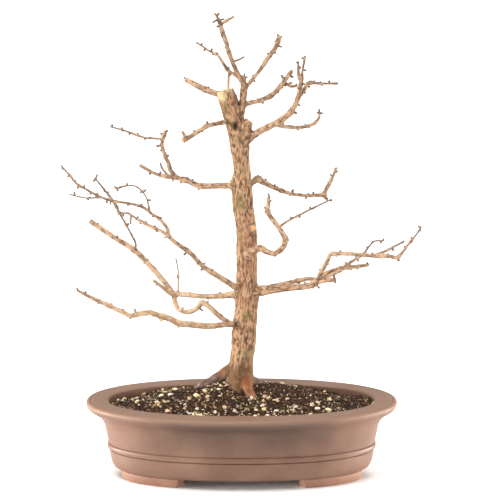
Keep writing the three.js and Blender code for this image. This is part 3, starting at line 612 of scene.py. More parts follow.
# Sizes of the bed's lumps and how high they stand
BED_CRUMBS = ((9.0, 1.3), (3.4, 0.8), (1.6, 0.35))
BED_CRISPEST = 60
POCKET_TOP = STAPLE_BRIDGE + WIRE_RADIUS + CLEARANCE
# Where the soil is banked up against the trunk and its roots, or has sunk: [x, y], height and reach
SOIL_BANKS = (((-24, 1), 6.5, 9), ((-12, -9), 3.5, 11), ((-30, 5), 4, 14), ((24, 6), 3, 12),
              ((45, 20), 4, 26), ((-140, 10), -3.5, 38), ((-118, 45), -4, 30), ((118, 45), -5, 28))
SOIL_BLACK = "1a110c"
SOIL_BROWN = "3d281b"
SOIL_RUST = "5e3b26"
SOIL_OLIVE = "4d4424"
LOAM_CRUMB = 2.2


def soil_level(x, y):
    """Level of the soil without its grains."""
    away = ((x - MOUND_CENTRE[0]) / MOUND_SPREAD[0]) ** 2 + ((y - MOUND_CENTRE[1]) / MOUND_SPREAD[1]) ** 2
    level = SOIL_EDGE + MOUND_HEIGHT * math.exp(-away)
    for centre, height, reach in SOIL_BANKS:
        level += height * math.exp(-(math.dist(centre, (x, y)) / reach) ** 2)
    return level


loam, loam_tree, loam_shader = new_material("damp_bark_and_loam")
# Damp loam is nearly black in its hollows and brown on its crumbs, and wholly matt
loam_place = add(loam_tree, "ShaderNodeTexCoord").outputs["Object"]
loam_crumbs = add(loam_tree, "ShaderNodeTexNoise",
                  {"Vector": loam_place, "Scale": 1 / (LOAM_CRUMB * MM), "Detail": 4.0, "Roughness": 0.7})
loam_tone = add(loam_tree, "ShaderNodeValToRGB", {"Fac": loam_crumbs},
                stops=((0.36, SOIL_BLACK), (0.5, SOIL_BROWN), (0.62, SOIL_RUST), (0.72, SOIL_OLIVE)))
loam_bump = add(loam_tree, "ShaderNodeBump",
                {"Height": loam_crumbs, "Strength": 0.9, "Distance": 1.2 * MM})
connect(loam_tree, loam_shader, {"Base Color": loam_tone, "Roughness": 0.95,
                                 "Specular IOR Level": 0.2, "Normal": loam_bump})

columns = round(2 * (POT_HALF_LENGTH - BED_MARGIN) / BED_PITCH)
rows = round(2 * (POT_HALF_WIDTH - BED_MARGIN) / BED_PITCH)
grid = [((c - columns / 2) * BED_PITCH, (r - rows / 2) * BED_PITCH)
        for r in range(rows + 1) for c in range(columns + 1)]
points = []
for x, y in grid:
    z = soil_level(x, y)
    for scale, lift in BED_CRUMBS:
        z += lift * noise.noise(Vector((x / scale, y / scale, scale)))
    points.append((x, y, z))
points += [(x, y, 0) for x, y in grid]
faces = []
for r in range(rows):
    for c in range(columns):
        a = r * (columns + 1) + c
        b = a + columns + 1
        faces.append((a, a + 1, b + 1, b))
        faces.append(tuple(len(grid) + corner for corner in (b, b + 1, a + 1, a)))
border = list(range(columns)) + [columns + r * (columns + 1) for r in range(rows)]
border += [rows * (columns + 1) + c for c in range(columns, 0, -1)]
border += [r * (columns + 1) for r in range(rows, 0, -1)]
for here, following in zip(border, border[1:] + border[:1]):
    faces.append((following, here, len(grid) + here, len(grid) + following))
soil_bed = new_object("soil_bed", points, faces, loam)
room = new_object("room", *oval_shell(BED_ROOM, POT_SEGMENTS // 2), loam)
join_solids(soil_bed, [room], "INTERSECT")
pockets = []
for side in (-1, 1):
    reach = SCREEN_SIZE / 2 + CLEARANCE
    square = [(side * DRAIN_OFFSET + x * reach, y * reach) for x, y in SQUARE]
    pockets.append(new_object("pocket", *prism((square, square), (0, POCKET_TOP)), loam))
join_solids(soil_bed, pockets, "DIFFERENCE")
shade_smooth(soil_bed, BED_CRISPEST)

# Grains lie only where the bed faces up by at least this much and is higher than this
GRAIN_LEAST_FACING = 0.3
GRAIN_LOWEST = 80
# Sizes of the patches where grains are dense, of the bites out of a grain and of its pores
PATCH_SIZE = 30
BITE_SIZE = 2.4
PORE_SIZE = 0.9
grain_tree, given = new_tree(
    "scattered_grains", (("Bed", "Geometry"), ("Density", "Float"), ("Spacing", "Float"),
                         ("Patches", "Float"), ("Middle", "Vector"), ("Reach", "Float"),
                         ("Edge", "Float"), ("Seed", "Int"), ("Smallest", "Vector"),
                         ("Largest", "Vector"), ("Roundness", "Int"), ("Roughen", "Float"),
                         ("Lift", "Float"), ("Tilt", "Float"), ("Material", "Material")), "Grains")
# Scatters grains over the bed. Each is a small ball, squashed and turned at random and then
# roughened by noise, so that no two are alike
bed_place = add(grain_tree, "GeometryNodeInputPosition")
bed_normal = add(grain_tree, "GeometryNodeInputNormal")
bed_facing = add(grain_tree, "ShaderNodeSeparateXYZ", {"Vector": bed_normal}).outputs["Z"]
bed_height = add(grain_tree, "ShaderNodeSeparateXYZ", {"Vector": bed_place}).outputs["Z"]
facing_up = add(grain_tree, "FunctionNodeCompare", {"A": bed_facing, "B": GRAIN_LEAST_FACING},
                data_type="FLOAT", operation="GREATER_THAN")
on_top = add(grain_tree, "FunctionNodeCompare", {"A": bed_height, "B": GRAIN_LOWEST * MM},
             data_type="FLOAT", operation="GREATER_THAN")
top_only = add(grain_tree, "FunctionNodeBooleanMath", {0: facing_up, 1: on_top})
patches = add(grain_tree, "ShaderNodeTexNoise", {"Vector": bed_place, "Scale": 1 / (PATCH_SIZE * MM)})
patchy = add(grain_tree, "ShaderNodeMapRange",
             {"Value": patches, "From Min": 0.35, "From Max": 0.65, "To Min": given["Patches"],
              "To Max": 1.0})
from_middle = add(grain_tree, "ShaderNodeVectorMath", {0: bed_place, 1: given["Middle"]},
                  operation="DISTANCE")
thinning = add(grain_tree, "ShaderNodeMapRange",
               {"Value": from_middle, "From Max": given["Reach"], "To Min": 1.0,
                "To Max": given["Edge"]})
share = add(grain_tree, "ShaderNodeMath", {0: patchy, 1: thinning}, operation="MULTIPLY")
scattered = add(grain_tree, "GeometryNodeDistributePointsOnFaces",
                {"Mesh": given["Bed"], "Selection": top_only, "Distance Min": given["Spacing"],
                 "Density Max": given["Density"], "Density Factor": share, "Seed": given["Seed"]},
                distribute_method="POISSON")
sizes = add(grain_tree, "FunctionNodeRandomValue",
            {"Min": given["Smallest"], "Max": given["Largest"], "Seed": given["Seed"]},
            data_type="FLOAT_VECTOR")
tilt_back = add(grain_tree, "ShaderNodeMath", {0: given["Tilt"], 1: -1.0}, operation="MULTIPLY")
turn_low = add(grain_tree, "ShaderNodeCombineXYZ", {"X": tilt_back, "Y": tilt_back, "Z": -math.pi})
turn_high = add(grain_tree, "ShaderNodeCombineXYZ", {"X": given["Tilt"], "Y": given["Tilt"], "Z": math.pi})
turns = add(grain_tree, "FunctionNodeRandomValue",
            {"Min": turn_low, "Max": turn_high, "Seed": given["Seed"]}, data_type="FLOAT_VECTOR")
tones = add(grain_tree, "FunctionNodeRandomValue", {"Seed": given["Seed"]}, data_type="FLOAT")
lift_by = add(grain_tree, "ShaderNodeCombineXYZ", {"Z": given["Lift"]})
raised = add(grain_tree, "GeometryNodeSetPosition",
             {"Geometry": scattered.outputs["Points"], "Offset": lift_by})
grains = add(grain_tree, "GeometryNodeInstanceOnPoints",
             {"Points": raised, "Scale": sizes, "Rotation": turns,
              "Instance": add(grain_tree, "GeometryNodeMeshIcoSphere",
                              {"Radius": 0.5, "Subdivisions": given["Roundness"]})})
toned = add(grain_tree, "GeometryNodeStoreNamedAttribute",
            {"Geometry": grains, "Name": "grain_tone", "Value": tones},
            data_type="FLOAT", domain="INSTANCE")
loose = add(grain_tree, "GeometryNodeRealizeInstances", {0: toned})
bites = add(grain_tree, "ShaderNodeTexNoise",
            {"Vector": add(grain_tree, "GeometryNodeInputPosition"), "Scale": 1 / (BITE_SIZE * MM),
             "Detail": 2.0})
bitten = add(grain_tree, "ShaderNodeVectorMath",
             {0: bites.outputs["Color"], 1: (0.5, 0.5, 0.5)}, operation="SUBTRACT")
bite_size = add(grain_tree, "ShaderNodeVectorMath", {0: bitten, "Scale": given["Roughen"]},
                operation="SCALE")
roughened = add(grain_tree, "GeometryNodeSetPosition", {"Geometry": loose, "Offset": bite_size})
grain_done = add(grain_tree, "GeometryNodeSetMaterial",
                 {"Geometry": roughened, "Material": given["Material"]})
add(grain_tree, "NodeGroupOutput", {"Grains": grain_done})


def grain_material(name, stops, roughness, speckle):
    """A matt mineral or bark finish, its tone drawn grain by grain and broken by a fine speckle."""
    made, tree, shader = new_material(name)
    tone = add(tree, "ShaderNodeAttribute", attribute_name="grain_tone")
    colour = add(tree, "ShaderNodeValToRGB", {"Fac": tone.outputs["Fac"]}, stops=stops)
    place = add(tree, "ShaderNodeTexCoord").outputs["Object"]
    pores = add(tree, "ShaderNodeTexNoise", {"Vector": place, "Scale": 1 / (PORE_SIZE * MM), "Detail": 3.0})
    depth = add(tree, "ShaderNodeMapRange",
                {"Value": pores, "From Min": 0.35, "From Max": 0.6, "To Min": speckle, "To Max": 1.05})
    dusty = add(tree, "ShaderNodeVectorMath", {0: colour, "Scale": depth}, operation="SCALE")
    bump = add(tree, "ShaderNodeBump", {"Height": pores, "Strength": 0.6, "Distance": 0.4 * MM})
    connect(tree, shader, {"Base Color": dusty, "Roughness": roughness, "Normal": bump})
    return made


# Pumice: pale porous stone, cream to yellowish. Chips and fibres: shredded conifer bark, reddish
# brown. Grit: dark crumbs of loam and fired clay. Moss: green tufts on the damp side. Each row has a
# name, a finish, the tones that its grains are drawn from, its roughness, how dark its pores are and
# its inputs, with sizes in millimetres. Reach is how far from its Middle it thins out to the share
# Edge.
SOIL_GRAINS = (
    ("pumice_lumps", "crushed_pumice",
     ((0.0, "f2e2b0"), (0.3, "fdf3d6"), (0.55, "ecd08c"), (0.75, "dcb698"), (1.0, "fdf5e6")), 0.9, 0.55,
     {"Density": 19000.0, "Spacing": 4.2, "Patches": 0.0, "Seed": 5, "Lift": 0.8, "Tilt": 0.5,
      "Middle": (-40, -150, 90), "Reach": 245, "Edge": 0.0, "Smallest": (3.0, 2.4, 1.8),
      "Largest": (9.0, 6.4, 4.6), "Roundness": 2, "Roughen": 3.4}),
    ("pumice_fines", "sieved_pumice",
     ((0.0, "f0dfae"), (0.3, "d2b280"), (0.55, "fdf2d8"), (0.8, "cf9f74"), (1.0, "fbf1dc")), 0.9, 0.5,
     {"Density": 150000.0, "Spacing": 1.6, "Patches": 0.0, "Seed": 11, "Lift": 0.5, "Tilt": 0.9,
      "Middle": (-40, -150, 90), "Reach": 250, "Edge": 0.02, "Smallest": (1.0, 0.9, 0.7),
      "Largest": (4.2, 2.8, 2.1), "Roundness": 1, "Roughen": 1.9}),
    ("bark_chips", "shredded_conifer_bark",
     ((0.0, "1d110b"), (0.35, "3a2115"), (0.6, "5f3a25"), (0.8, "8a5d40"), (1.0, "bd9268")), 0.85, 0.5,
     {"Density": 70000.0, "Spacing": 1.9, "Patches": 0.6, "Seed": 17, "Lift": 0.5, "Tilt": 0.7,
      "Middle": (0, 0, 90), "Reach": 400, "Edge": 0.7, "Smallest": (2.0, 1.0, 0.6),
      "Largest": (7.0, 2.6, 1.5), "Roundness": 1, "Roughen": 1.3}),
    ("bark_fibres", "teased_bark_fibre",
     ((0.0, "3b2417"), (0.4, "6f4a30"), (0.75, "93704c"), (1.0, "bd9a70")), 0.9, 0.6,
     {"Density": 26000.0, "Spacing": 2.4, "Patches": 0.3, "Seed": 29, "Lift": 0.7, "Tilt": 0.5,
      "Middle": (-10, 5, 95), "Reach": 150, "Edge": 0.35, "Smallest": (3.5, 0.5, 0.4),
      "Largest": (10.0, 0.9, 0.7), "Roundness": 1, "Roughen": 1.2}),
    ("moss_tufts", "cushion_moss",
     ((0.0, "3c4a1e"), (0.45, "5c6b2c"), (0.8, "7f9247"), (1.0, "9cad62")), 1.0, 0.6,
     {"Density": 90000.0, "Spacing": 1.2, "Patches": -0.9, "Seed": 31, "Lift": 0.4, "Tilt": 0.8,
      "Middle": (30, -30, 92), "Reach": 120, "Edge": 0.1, "Smallest": (1.0, 0.9, 0.9),
      "Largest": (2.6, 2.2, 1.8), "Roundness": 1, "Roughen": 1.2}),
    ("dark_grit", "loam_crumbs",
     ((0.0, "130c08"), (0.45, "2b1c12"), (0.75, "48301e"), (0.93, "6b5636"), (1.0, "5a4544")), 0.95, 0.4,
     {"Density": 260000.0, "Spacing": 1.15, "Patches": 0.8, "Seed": 23, "Lift": 0.3, "Tilt": 1.2,
      "Middle": (0, 0, 90), "Reach": 400, "Edge": 1.0, "Smallest": (0.9, 0.8, 0.7),
      "Largest": (2.8, 2.4, 2.2), "Roundness": 1, "Roughen": 0.9}),
)
IN_MILLIMETRES = ("Spacing", "Lift", "Middle", "Reach", "Smallest", "Largest", "Roughen")
soil_pieces = [soil_bed]
for name, finish, stops, roughness, speckle, values in SOIL_GRAINS:
    for label in IN_MILLIMETRES:
        many = isinstance(values[label], tuple)
        values[label] = tuple(v * MM for v in values[label]) if many else values[label] * MM
    values["Material"] = grain_material(finish, stops, roughness, speckle)
    soil_pieces.append(grow(name, grain_tree, values, soil_bed.data.copy()))
for piece in soil_pieces:
    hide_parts("soil")
    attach(piece, "root")


# TREE. A dawn redwood in winter, grown as one piece: a fissured trunk sawn off near its top, a leader
# that took over beside the cut, bare limbs with buds and old spurs, and roots over the soil.

# Trunk stations from the root ball up to the sawn top: [x, y, z, radius]
TRUNK_STATIONS = (
    (0, 8, 60, 9), (0, 8, 84, 13.5), (-0.8, 8, 104, 14.8), (-1, 8, 120, 14.2), (-0.2, 8, 136, 13.8),
    (1.5, 8.5, 148, 13.5), (2.5, 9, 159, 14), (3.5, 10, 177, 14.2), (5.3, 10, 195, 12.9),
    (6, 10, 207, 13.7), (6, 10, 218, 13.2), (6, 10.5, 236, 11.8), (6, 10.5, 254, 11.7),
    (5.8, 11, 283, 11.9), (4.6, 11.5, 300, 11.4), (2, 12, 312, 12), (1.3, 12, 323, 11.7),
    (0.2, 12, 335, 12.2), (0.2, 12, 347, 11.1), (0.5, 12, 358, 9.6), (-0.7, 12, 370, 9.4),
    (-1.5, 11.5, 381, 10.6), (-2.5, 11, 393, 11.7), (-5, 10, 407, 11.7), (-8.5, 9.5, 418, 11),
    (-11.5, 9, 428, 10.9), (-15.5, 8, 440, 10.8), (-18, 8, 446.5, 10.3), (-18.9, 8, 450.4, 9.8),
)

# Limbs, each with its radii from root to tip, its route, its knuckles as fractions of its length,
# the tips of its buds and spurs, and whether it ends in a pruned cut
TOP_LIMBS = (
    # Leader beside the sawn top
    {"girth": [4.6, 3.9, 4.1, 4.5, 3.2],
     "path": [[-5, 9, 412], [-2, 9, 422], [1, 8, 434], [2, 7, 445], [3, 6, 454], [2.3, 5, 462],
              [2.4, 5, 466]],
     "spurs": [[3.6, 4, 470.5], [6.6, 4, 466]]},
    # Highest shoot
    {"girth": [3.2, 2.5, 2.4, 2.8, 1], "knuckles": [0.45, 0.88],
     "path": [[2, 6, 459], [-6, 3, 474], [-15, -3, 498], [-17, -6, 507], [-21, -8, 518], [-24, -10, 529],
              [-27, -10, 536], [-30, -9, 540]],
     "spurs": [[-27.5, -10, 525], [-32, -10, 530], [-19.5, -10, 534], [-25, -9, 540], [-18.5, -5, 500.5],
               [-11, -2, 491]]},
    {"girth": [1.6, 1.3], "knuckles": [0.5],
     "path": [[-24, -9, 527], [-17, -13, 532], [-14, -15, 534], [-9, -17, 537]]},
    {"girth": [1.3, 1.1], "path": [[-12, 0, 484], [-4, 8, 485], [3, 14, 488]]},
    # Shoot to the upper left
    {"girth": [2.1, 1.9, 1.3, 1.1], "knuckles": [0.3, 0.62],
     "path": [[0, 5, 463], [-8, 8, 469], [-14, 10, 472], [-21, 15, 481], [-27, 20, 489], [-36, 24, 493],
              [-47, 28, 500], [-51, 30, 502]],
     "spurs": [[-44.5, 27.5, 502], [-27.5, 19, 492], [-42.5, 26, 493.5], [-13, 9, 468],
               [-33.5, 23.5, 496]]},
    # Shoot to the upper right
    {"girth": [2.4, 2.1, 2.6, 2.7], "knuckles": [0.55, 0.93],
     "path": [[2, 6, 450], [10, 9, 460], [21, 14, 473], [28, 18, 483], [37, 22, 495], [40, 24, 500],
              [43, 26, 509]],
     "spurs": [[34, 20, 487], [29, 20, 491.5], [39, 20.5, 491], [45.5, 24, 498], [38, 25, 504],
               [15.5, 10, 460], [46, 27, 509], [41, 27, 512]]},
    # Left shoot under the sawn top, and a splinter standing on the cut
    {"girth": [3.6, 3.2, 3.5, 2.7], "knuckles": [0.5],
     "path": [[-18, 9, 443], [-28, 14, 446], [-36, 18, 448], [-47, 24, 452], [-63, 32, 459]],
     "spurs": [[-65.5, 32, 462], [-41.5, 20.5, 446.5], [-37, 19, 453]]},
    {"girth": [2, 1.4, 1.3], "path": [[-15, 5, 444], [-15, 2, 455], [-14, 1, 472]]},
    # Right limb off the leader
    {"girth": [2.9, 2.6, 2.9, 2.8, 2], "knuckles": [0.5, 0.97],
     "path": [[1.5, 9.5, 433.5], [6, 5, 435.5], [12, 0.5, 438], [21, -6, 441], [34, -13, 448],
              [40, -16, 454], [50, -22, 468], [56, -26, 477]],
     "spurs": [[35, -14, 451.5], [42, -15.5, 451.5], [58, -24, 470], [24.5, -7.5, 438]]},
    {"girth": [1.7, 1.4], "path": [[48, -21, 465], [47, -23, 468], [45, -25, 472]]},
    {"girth": [1.5, 1.7], "path": [[46, -19, 461], [50, -18, 460], [56, -20, 463]]},
    {"girth": [1.5, 1.7], "path": [[48, -20, 465], [55, -12, 458], [62, -8, 458]],
     "spurs": [[62, -8, 460]]},
)
RIGHT_LIMBS = (
    # Heavy upper right limb that turns straight up
    {"girth": [5.3, 4.3, 4, 3.8, 3.8, 3.1, 2.5, 2.7, 1.2, 1.6], "knuckles": [0.52, 0.66, 0.82],
     "path": [[-1, 10, 388], [10, 4, 397], [17, -1, 403], [23, -5, 407], [41, -12, 417], [50, -15, 424],
              [56, -17, 430], [63, -20, 444], [66, -22, 458], [68, -25, 474], [70, -28, 488],
              [71, -29, 494]],
     "spurs": [[66, -19, 437], [62, -17.5, 428], [55, -18, 435], [71, -23, 462], [63, -22, 457.5],
               [72.5, -26, 478], [67.5, -28, 492], [32, -8, 409.5], [48, -13.5, 417]]},
    {"girth": [1.9, 1.8, 1], "path": [[66, -23, 466], [64, -20, 474], [64, -16, 486]],
     "spurs": [[62, -17, 485.5], [66.5, -18.5, 480]]},
    {"girth": [2.2, 2.4, 1.2, 1.5], "knuckles": [0.4, 0.65],
     "path": [[64, -21, 447], [69, -16, 452], [73, -11, 458], [76, -7, 461], [89, 4, 459],
              [109, 18, 457]],
     "spurs": [[77, -9, 456.5], [82, -2, 463], [91, 5.5, 456], [99.5, 11.5, 461], [72, -16, 451]]},
    {"girth": [2.4, 2.4, 2.2, 1.8, 1.1], "knuckles": [0.78],
     "path": [[37, -11, 415], [47, -2, 411], [55, 6, 409], [64, 14, 407], [72, 20, 407], [79, 25, 408],
              [85, 29, 411], [89, 33, 416], [89, 38, 424]],
     "spurs": [[93, 35.5, 420], [47, -2.5, 414], [64.5, 14, 404], [72.5, 20.5, 410], [86.5, 36, 420.5]]},
    # Pruned stub on the front, with the saw cut at its end
    {"girth": [6.8, 6.6, 6, 5.2], "cut": True, "path": [[1, 9, 391], [4.6, 3, 402], [6.1, 0, 410],
                                                        [7.2, -1, 415], [8.8, -1, 417.6]]},
    # Middle right limb and its forked end
    {"girth": [3.6, 3.9, 2.6, 2.1, 2.1, 2.6], "knuckles": [0.2, 0.5, 0.98],
     "path": [[2, 12, 336], [11, 18, 342], [18, 22, 346], [23, 25, 343], [38, 32, 334], [56, 40, 326],
              [75, 48, 322], [98, 58, 321]],
     "spurs": [[19, 22, 350.5], [41, 32.5, 336], [38.5, 31.5, 338], [59.5, 41.5, 330], [56, 40, 323],
               [83, 51.5, 325.5], [74.5, 48, 318], [28, 26.5, 345]]},
    {"girth": [2.1, 2.5, 1.4, 1.8], "knuckles": [0.6],
     "path": [[95, 57, 320], [98, 60, 327], [102, 63, 333], [108, 69, 345], [110, 71, 350]],
     "spurs": [[111.5, 70, 346], [103, 68, 343], [102.5, 65, 336]]},
    {"girth": [1.9, 2], "path": [[95, 57, 321], [99, 52, 317]]},
    # Hooked limb that comes forward, drops and climbs
    {"girth": [4.8, 4.1, 3.9, 2.9, 3, 3.1, 2.7, 2.7, 1.6], "knuckles": [0.14, 0.47, 0.6, 0.88],
     "path": [[4, 8, 256], [10, -5, 266], [17, -11, 270], [21, -15, 273], [29, -22, 270], [35, -27, 269],
              [40, -32, 271], [48, -39, 280], [50, -43, 286], [49, -46, 291], [43, -50, 302],
              [33, -52, 316], [30, -51, 321], [30, -48, 329], [31, -44, 339]],
     "spurs": [[25.5, -49, 326], [26.5, -50.5, 322], [39, -50.5, 306], [30, -44, 341], [33.5, -46, 333],
               [53.5, -44, 288], [39, -30.5, 267], [24.5, -17, 275.5]]},
    {"girth": [1.6, 1, 1.1, 0.8], "knuckles": [0.4],
     "path": [[42, -50, 302], [45, -45, 305], [55, -37, 310], [66, -29, 314], [78, -22, 319],
              [95, -11, 325], [101, -7, 327]],
     "spurs": [[102.5, -6, 326], [77.5, -21, 321.5], [66, -29.5, 311], [55, -36.5, 313]]},
    # Low right limb with its collar, and the thinner one behind it
    {"girth": [8, 5.7, 4.4, 3.8, 3.7, 3.6, 3.8], "knuckles": [0.96],
     "path": [[5, 10, 214], [18, 4, 218], [33, -1, 221], [55, -9, 225], [76, -16, 229], [83, -19, 232],
              [87, -21, 237]],
     "spurs": [[82, -18, 226.5], [89, -19, 227], [55.5, -9, 229.5], [42, -4, 218.5], [67, -13, 223.5],
               [72.5, -14.5, 233]]},
    {"girth": [2.6, 2.4, 2.6, 2.5], "cut": True, "knuckles": [0.7],
     "path": [[20, 5, 218], [30, 12, 221], [48, 22, 223], [68, 32, 225], [77, 36, 226], [86, 40, 224]]},
    {"girth": [2.6, 2.5, 2.3, 2.1, 2.5, 2.1, 1.4, 0.9], "knuckles": [0.28, 0.62, 0.74, 0.88],
     "path": [[84, -20, 232], [89, -23, 243], [98, -30, 262], [101, -33, 269], [111, -38, 271],
              [129, -46, 272], [147, -54, 272], [167, -62, 273], [174, -65, 272], [179, -67, 277],
              [187, -71, 289], [196, -75, 302], [200, -77, 309]],
     "spurs": [[107.5, -35.5, 267.5], [98.5, -28.5, 257], [176.5, -65, 268.5], [111.5, -38, 274.5],
               [129, -46, 269], [147, -54, 275.5], [164.5, -61.5, 276], [190, -72, 292.5],
               [197, -77, 310], [199.5, -76, 305], [182, -69.5, 286]]},
    {"girth": [2.1, 2.4, 1.9, 1.1, 0.8], "knuckles": [0.35, 0.7],
     "path": [[84, -20, 234], [99, -10, 239], [113, -1, 244], [120, 3, 249], [134, 12, 256],
              [139, 15, 258], [148, 20, 269], [153, 23, 273], [163, 30, 272]],
     "spurs": [[164.5, 30, 274.5], [160.5, 28.5, 269.5], [144, 18, 267.5], [134.5, 11, 252],
               [119, 4, 252.5]]},
    {"girth": [1.7, 1.6, 1],
     "path": [[144, -53, 271], [156, -46, 273], [166, -40, 276], [171, -36, 278], [182, -29, 282]],
     "spurs": [[184, -28, 283.5], [171.5, -36.5, 274.5]]},
    {"girth": [2, 2.6, 2.5, 2], "cut": True, "knuckles": [0.5],
     "path": [[86, -20, 234], [95, -9, 241], [104, -1, 243], [113, 8, 244], [125, 19, 243],
              [147, 38, 242]],
     "spurs": [[146, 37, 245], [125, 20, 246.5], [134, 27, 239]]},
    {"girth": [2.2, 2.3, 2], "knuckles": [0.8],
     "path": [[84, -20, 233], [94, -27, 237], [100, -32, 239], [106, -35, 240]],
     "spurs": [[104.5, -34.5, 245.5], [106.5, -35, 236.5], [94.5, -27.5, 240.5]]},
)
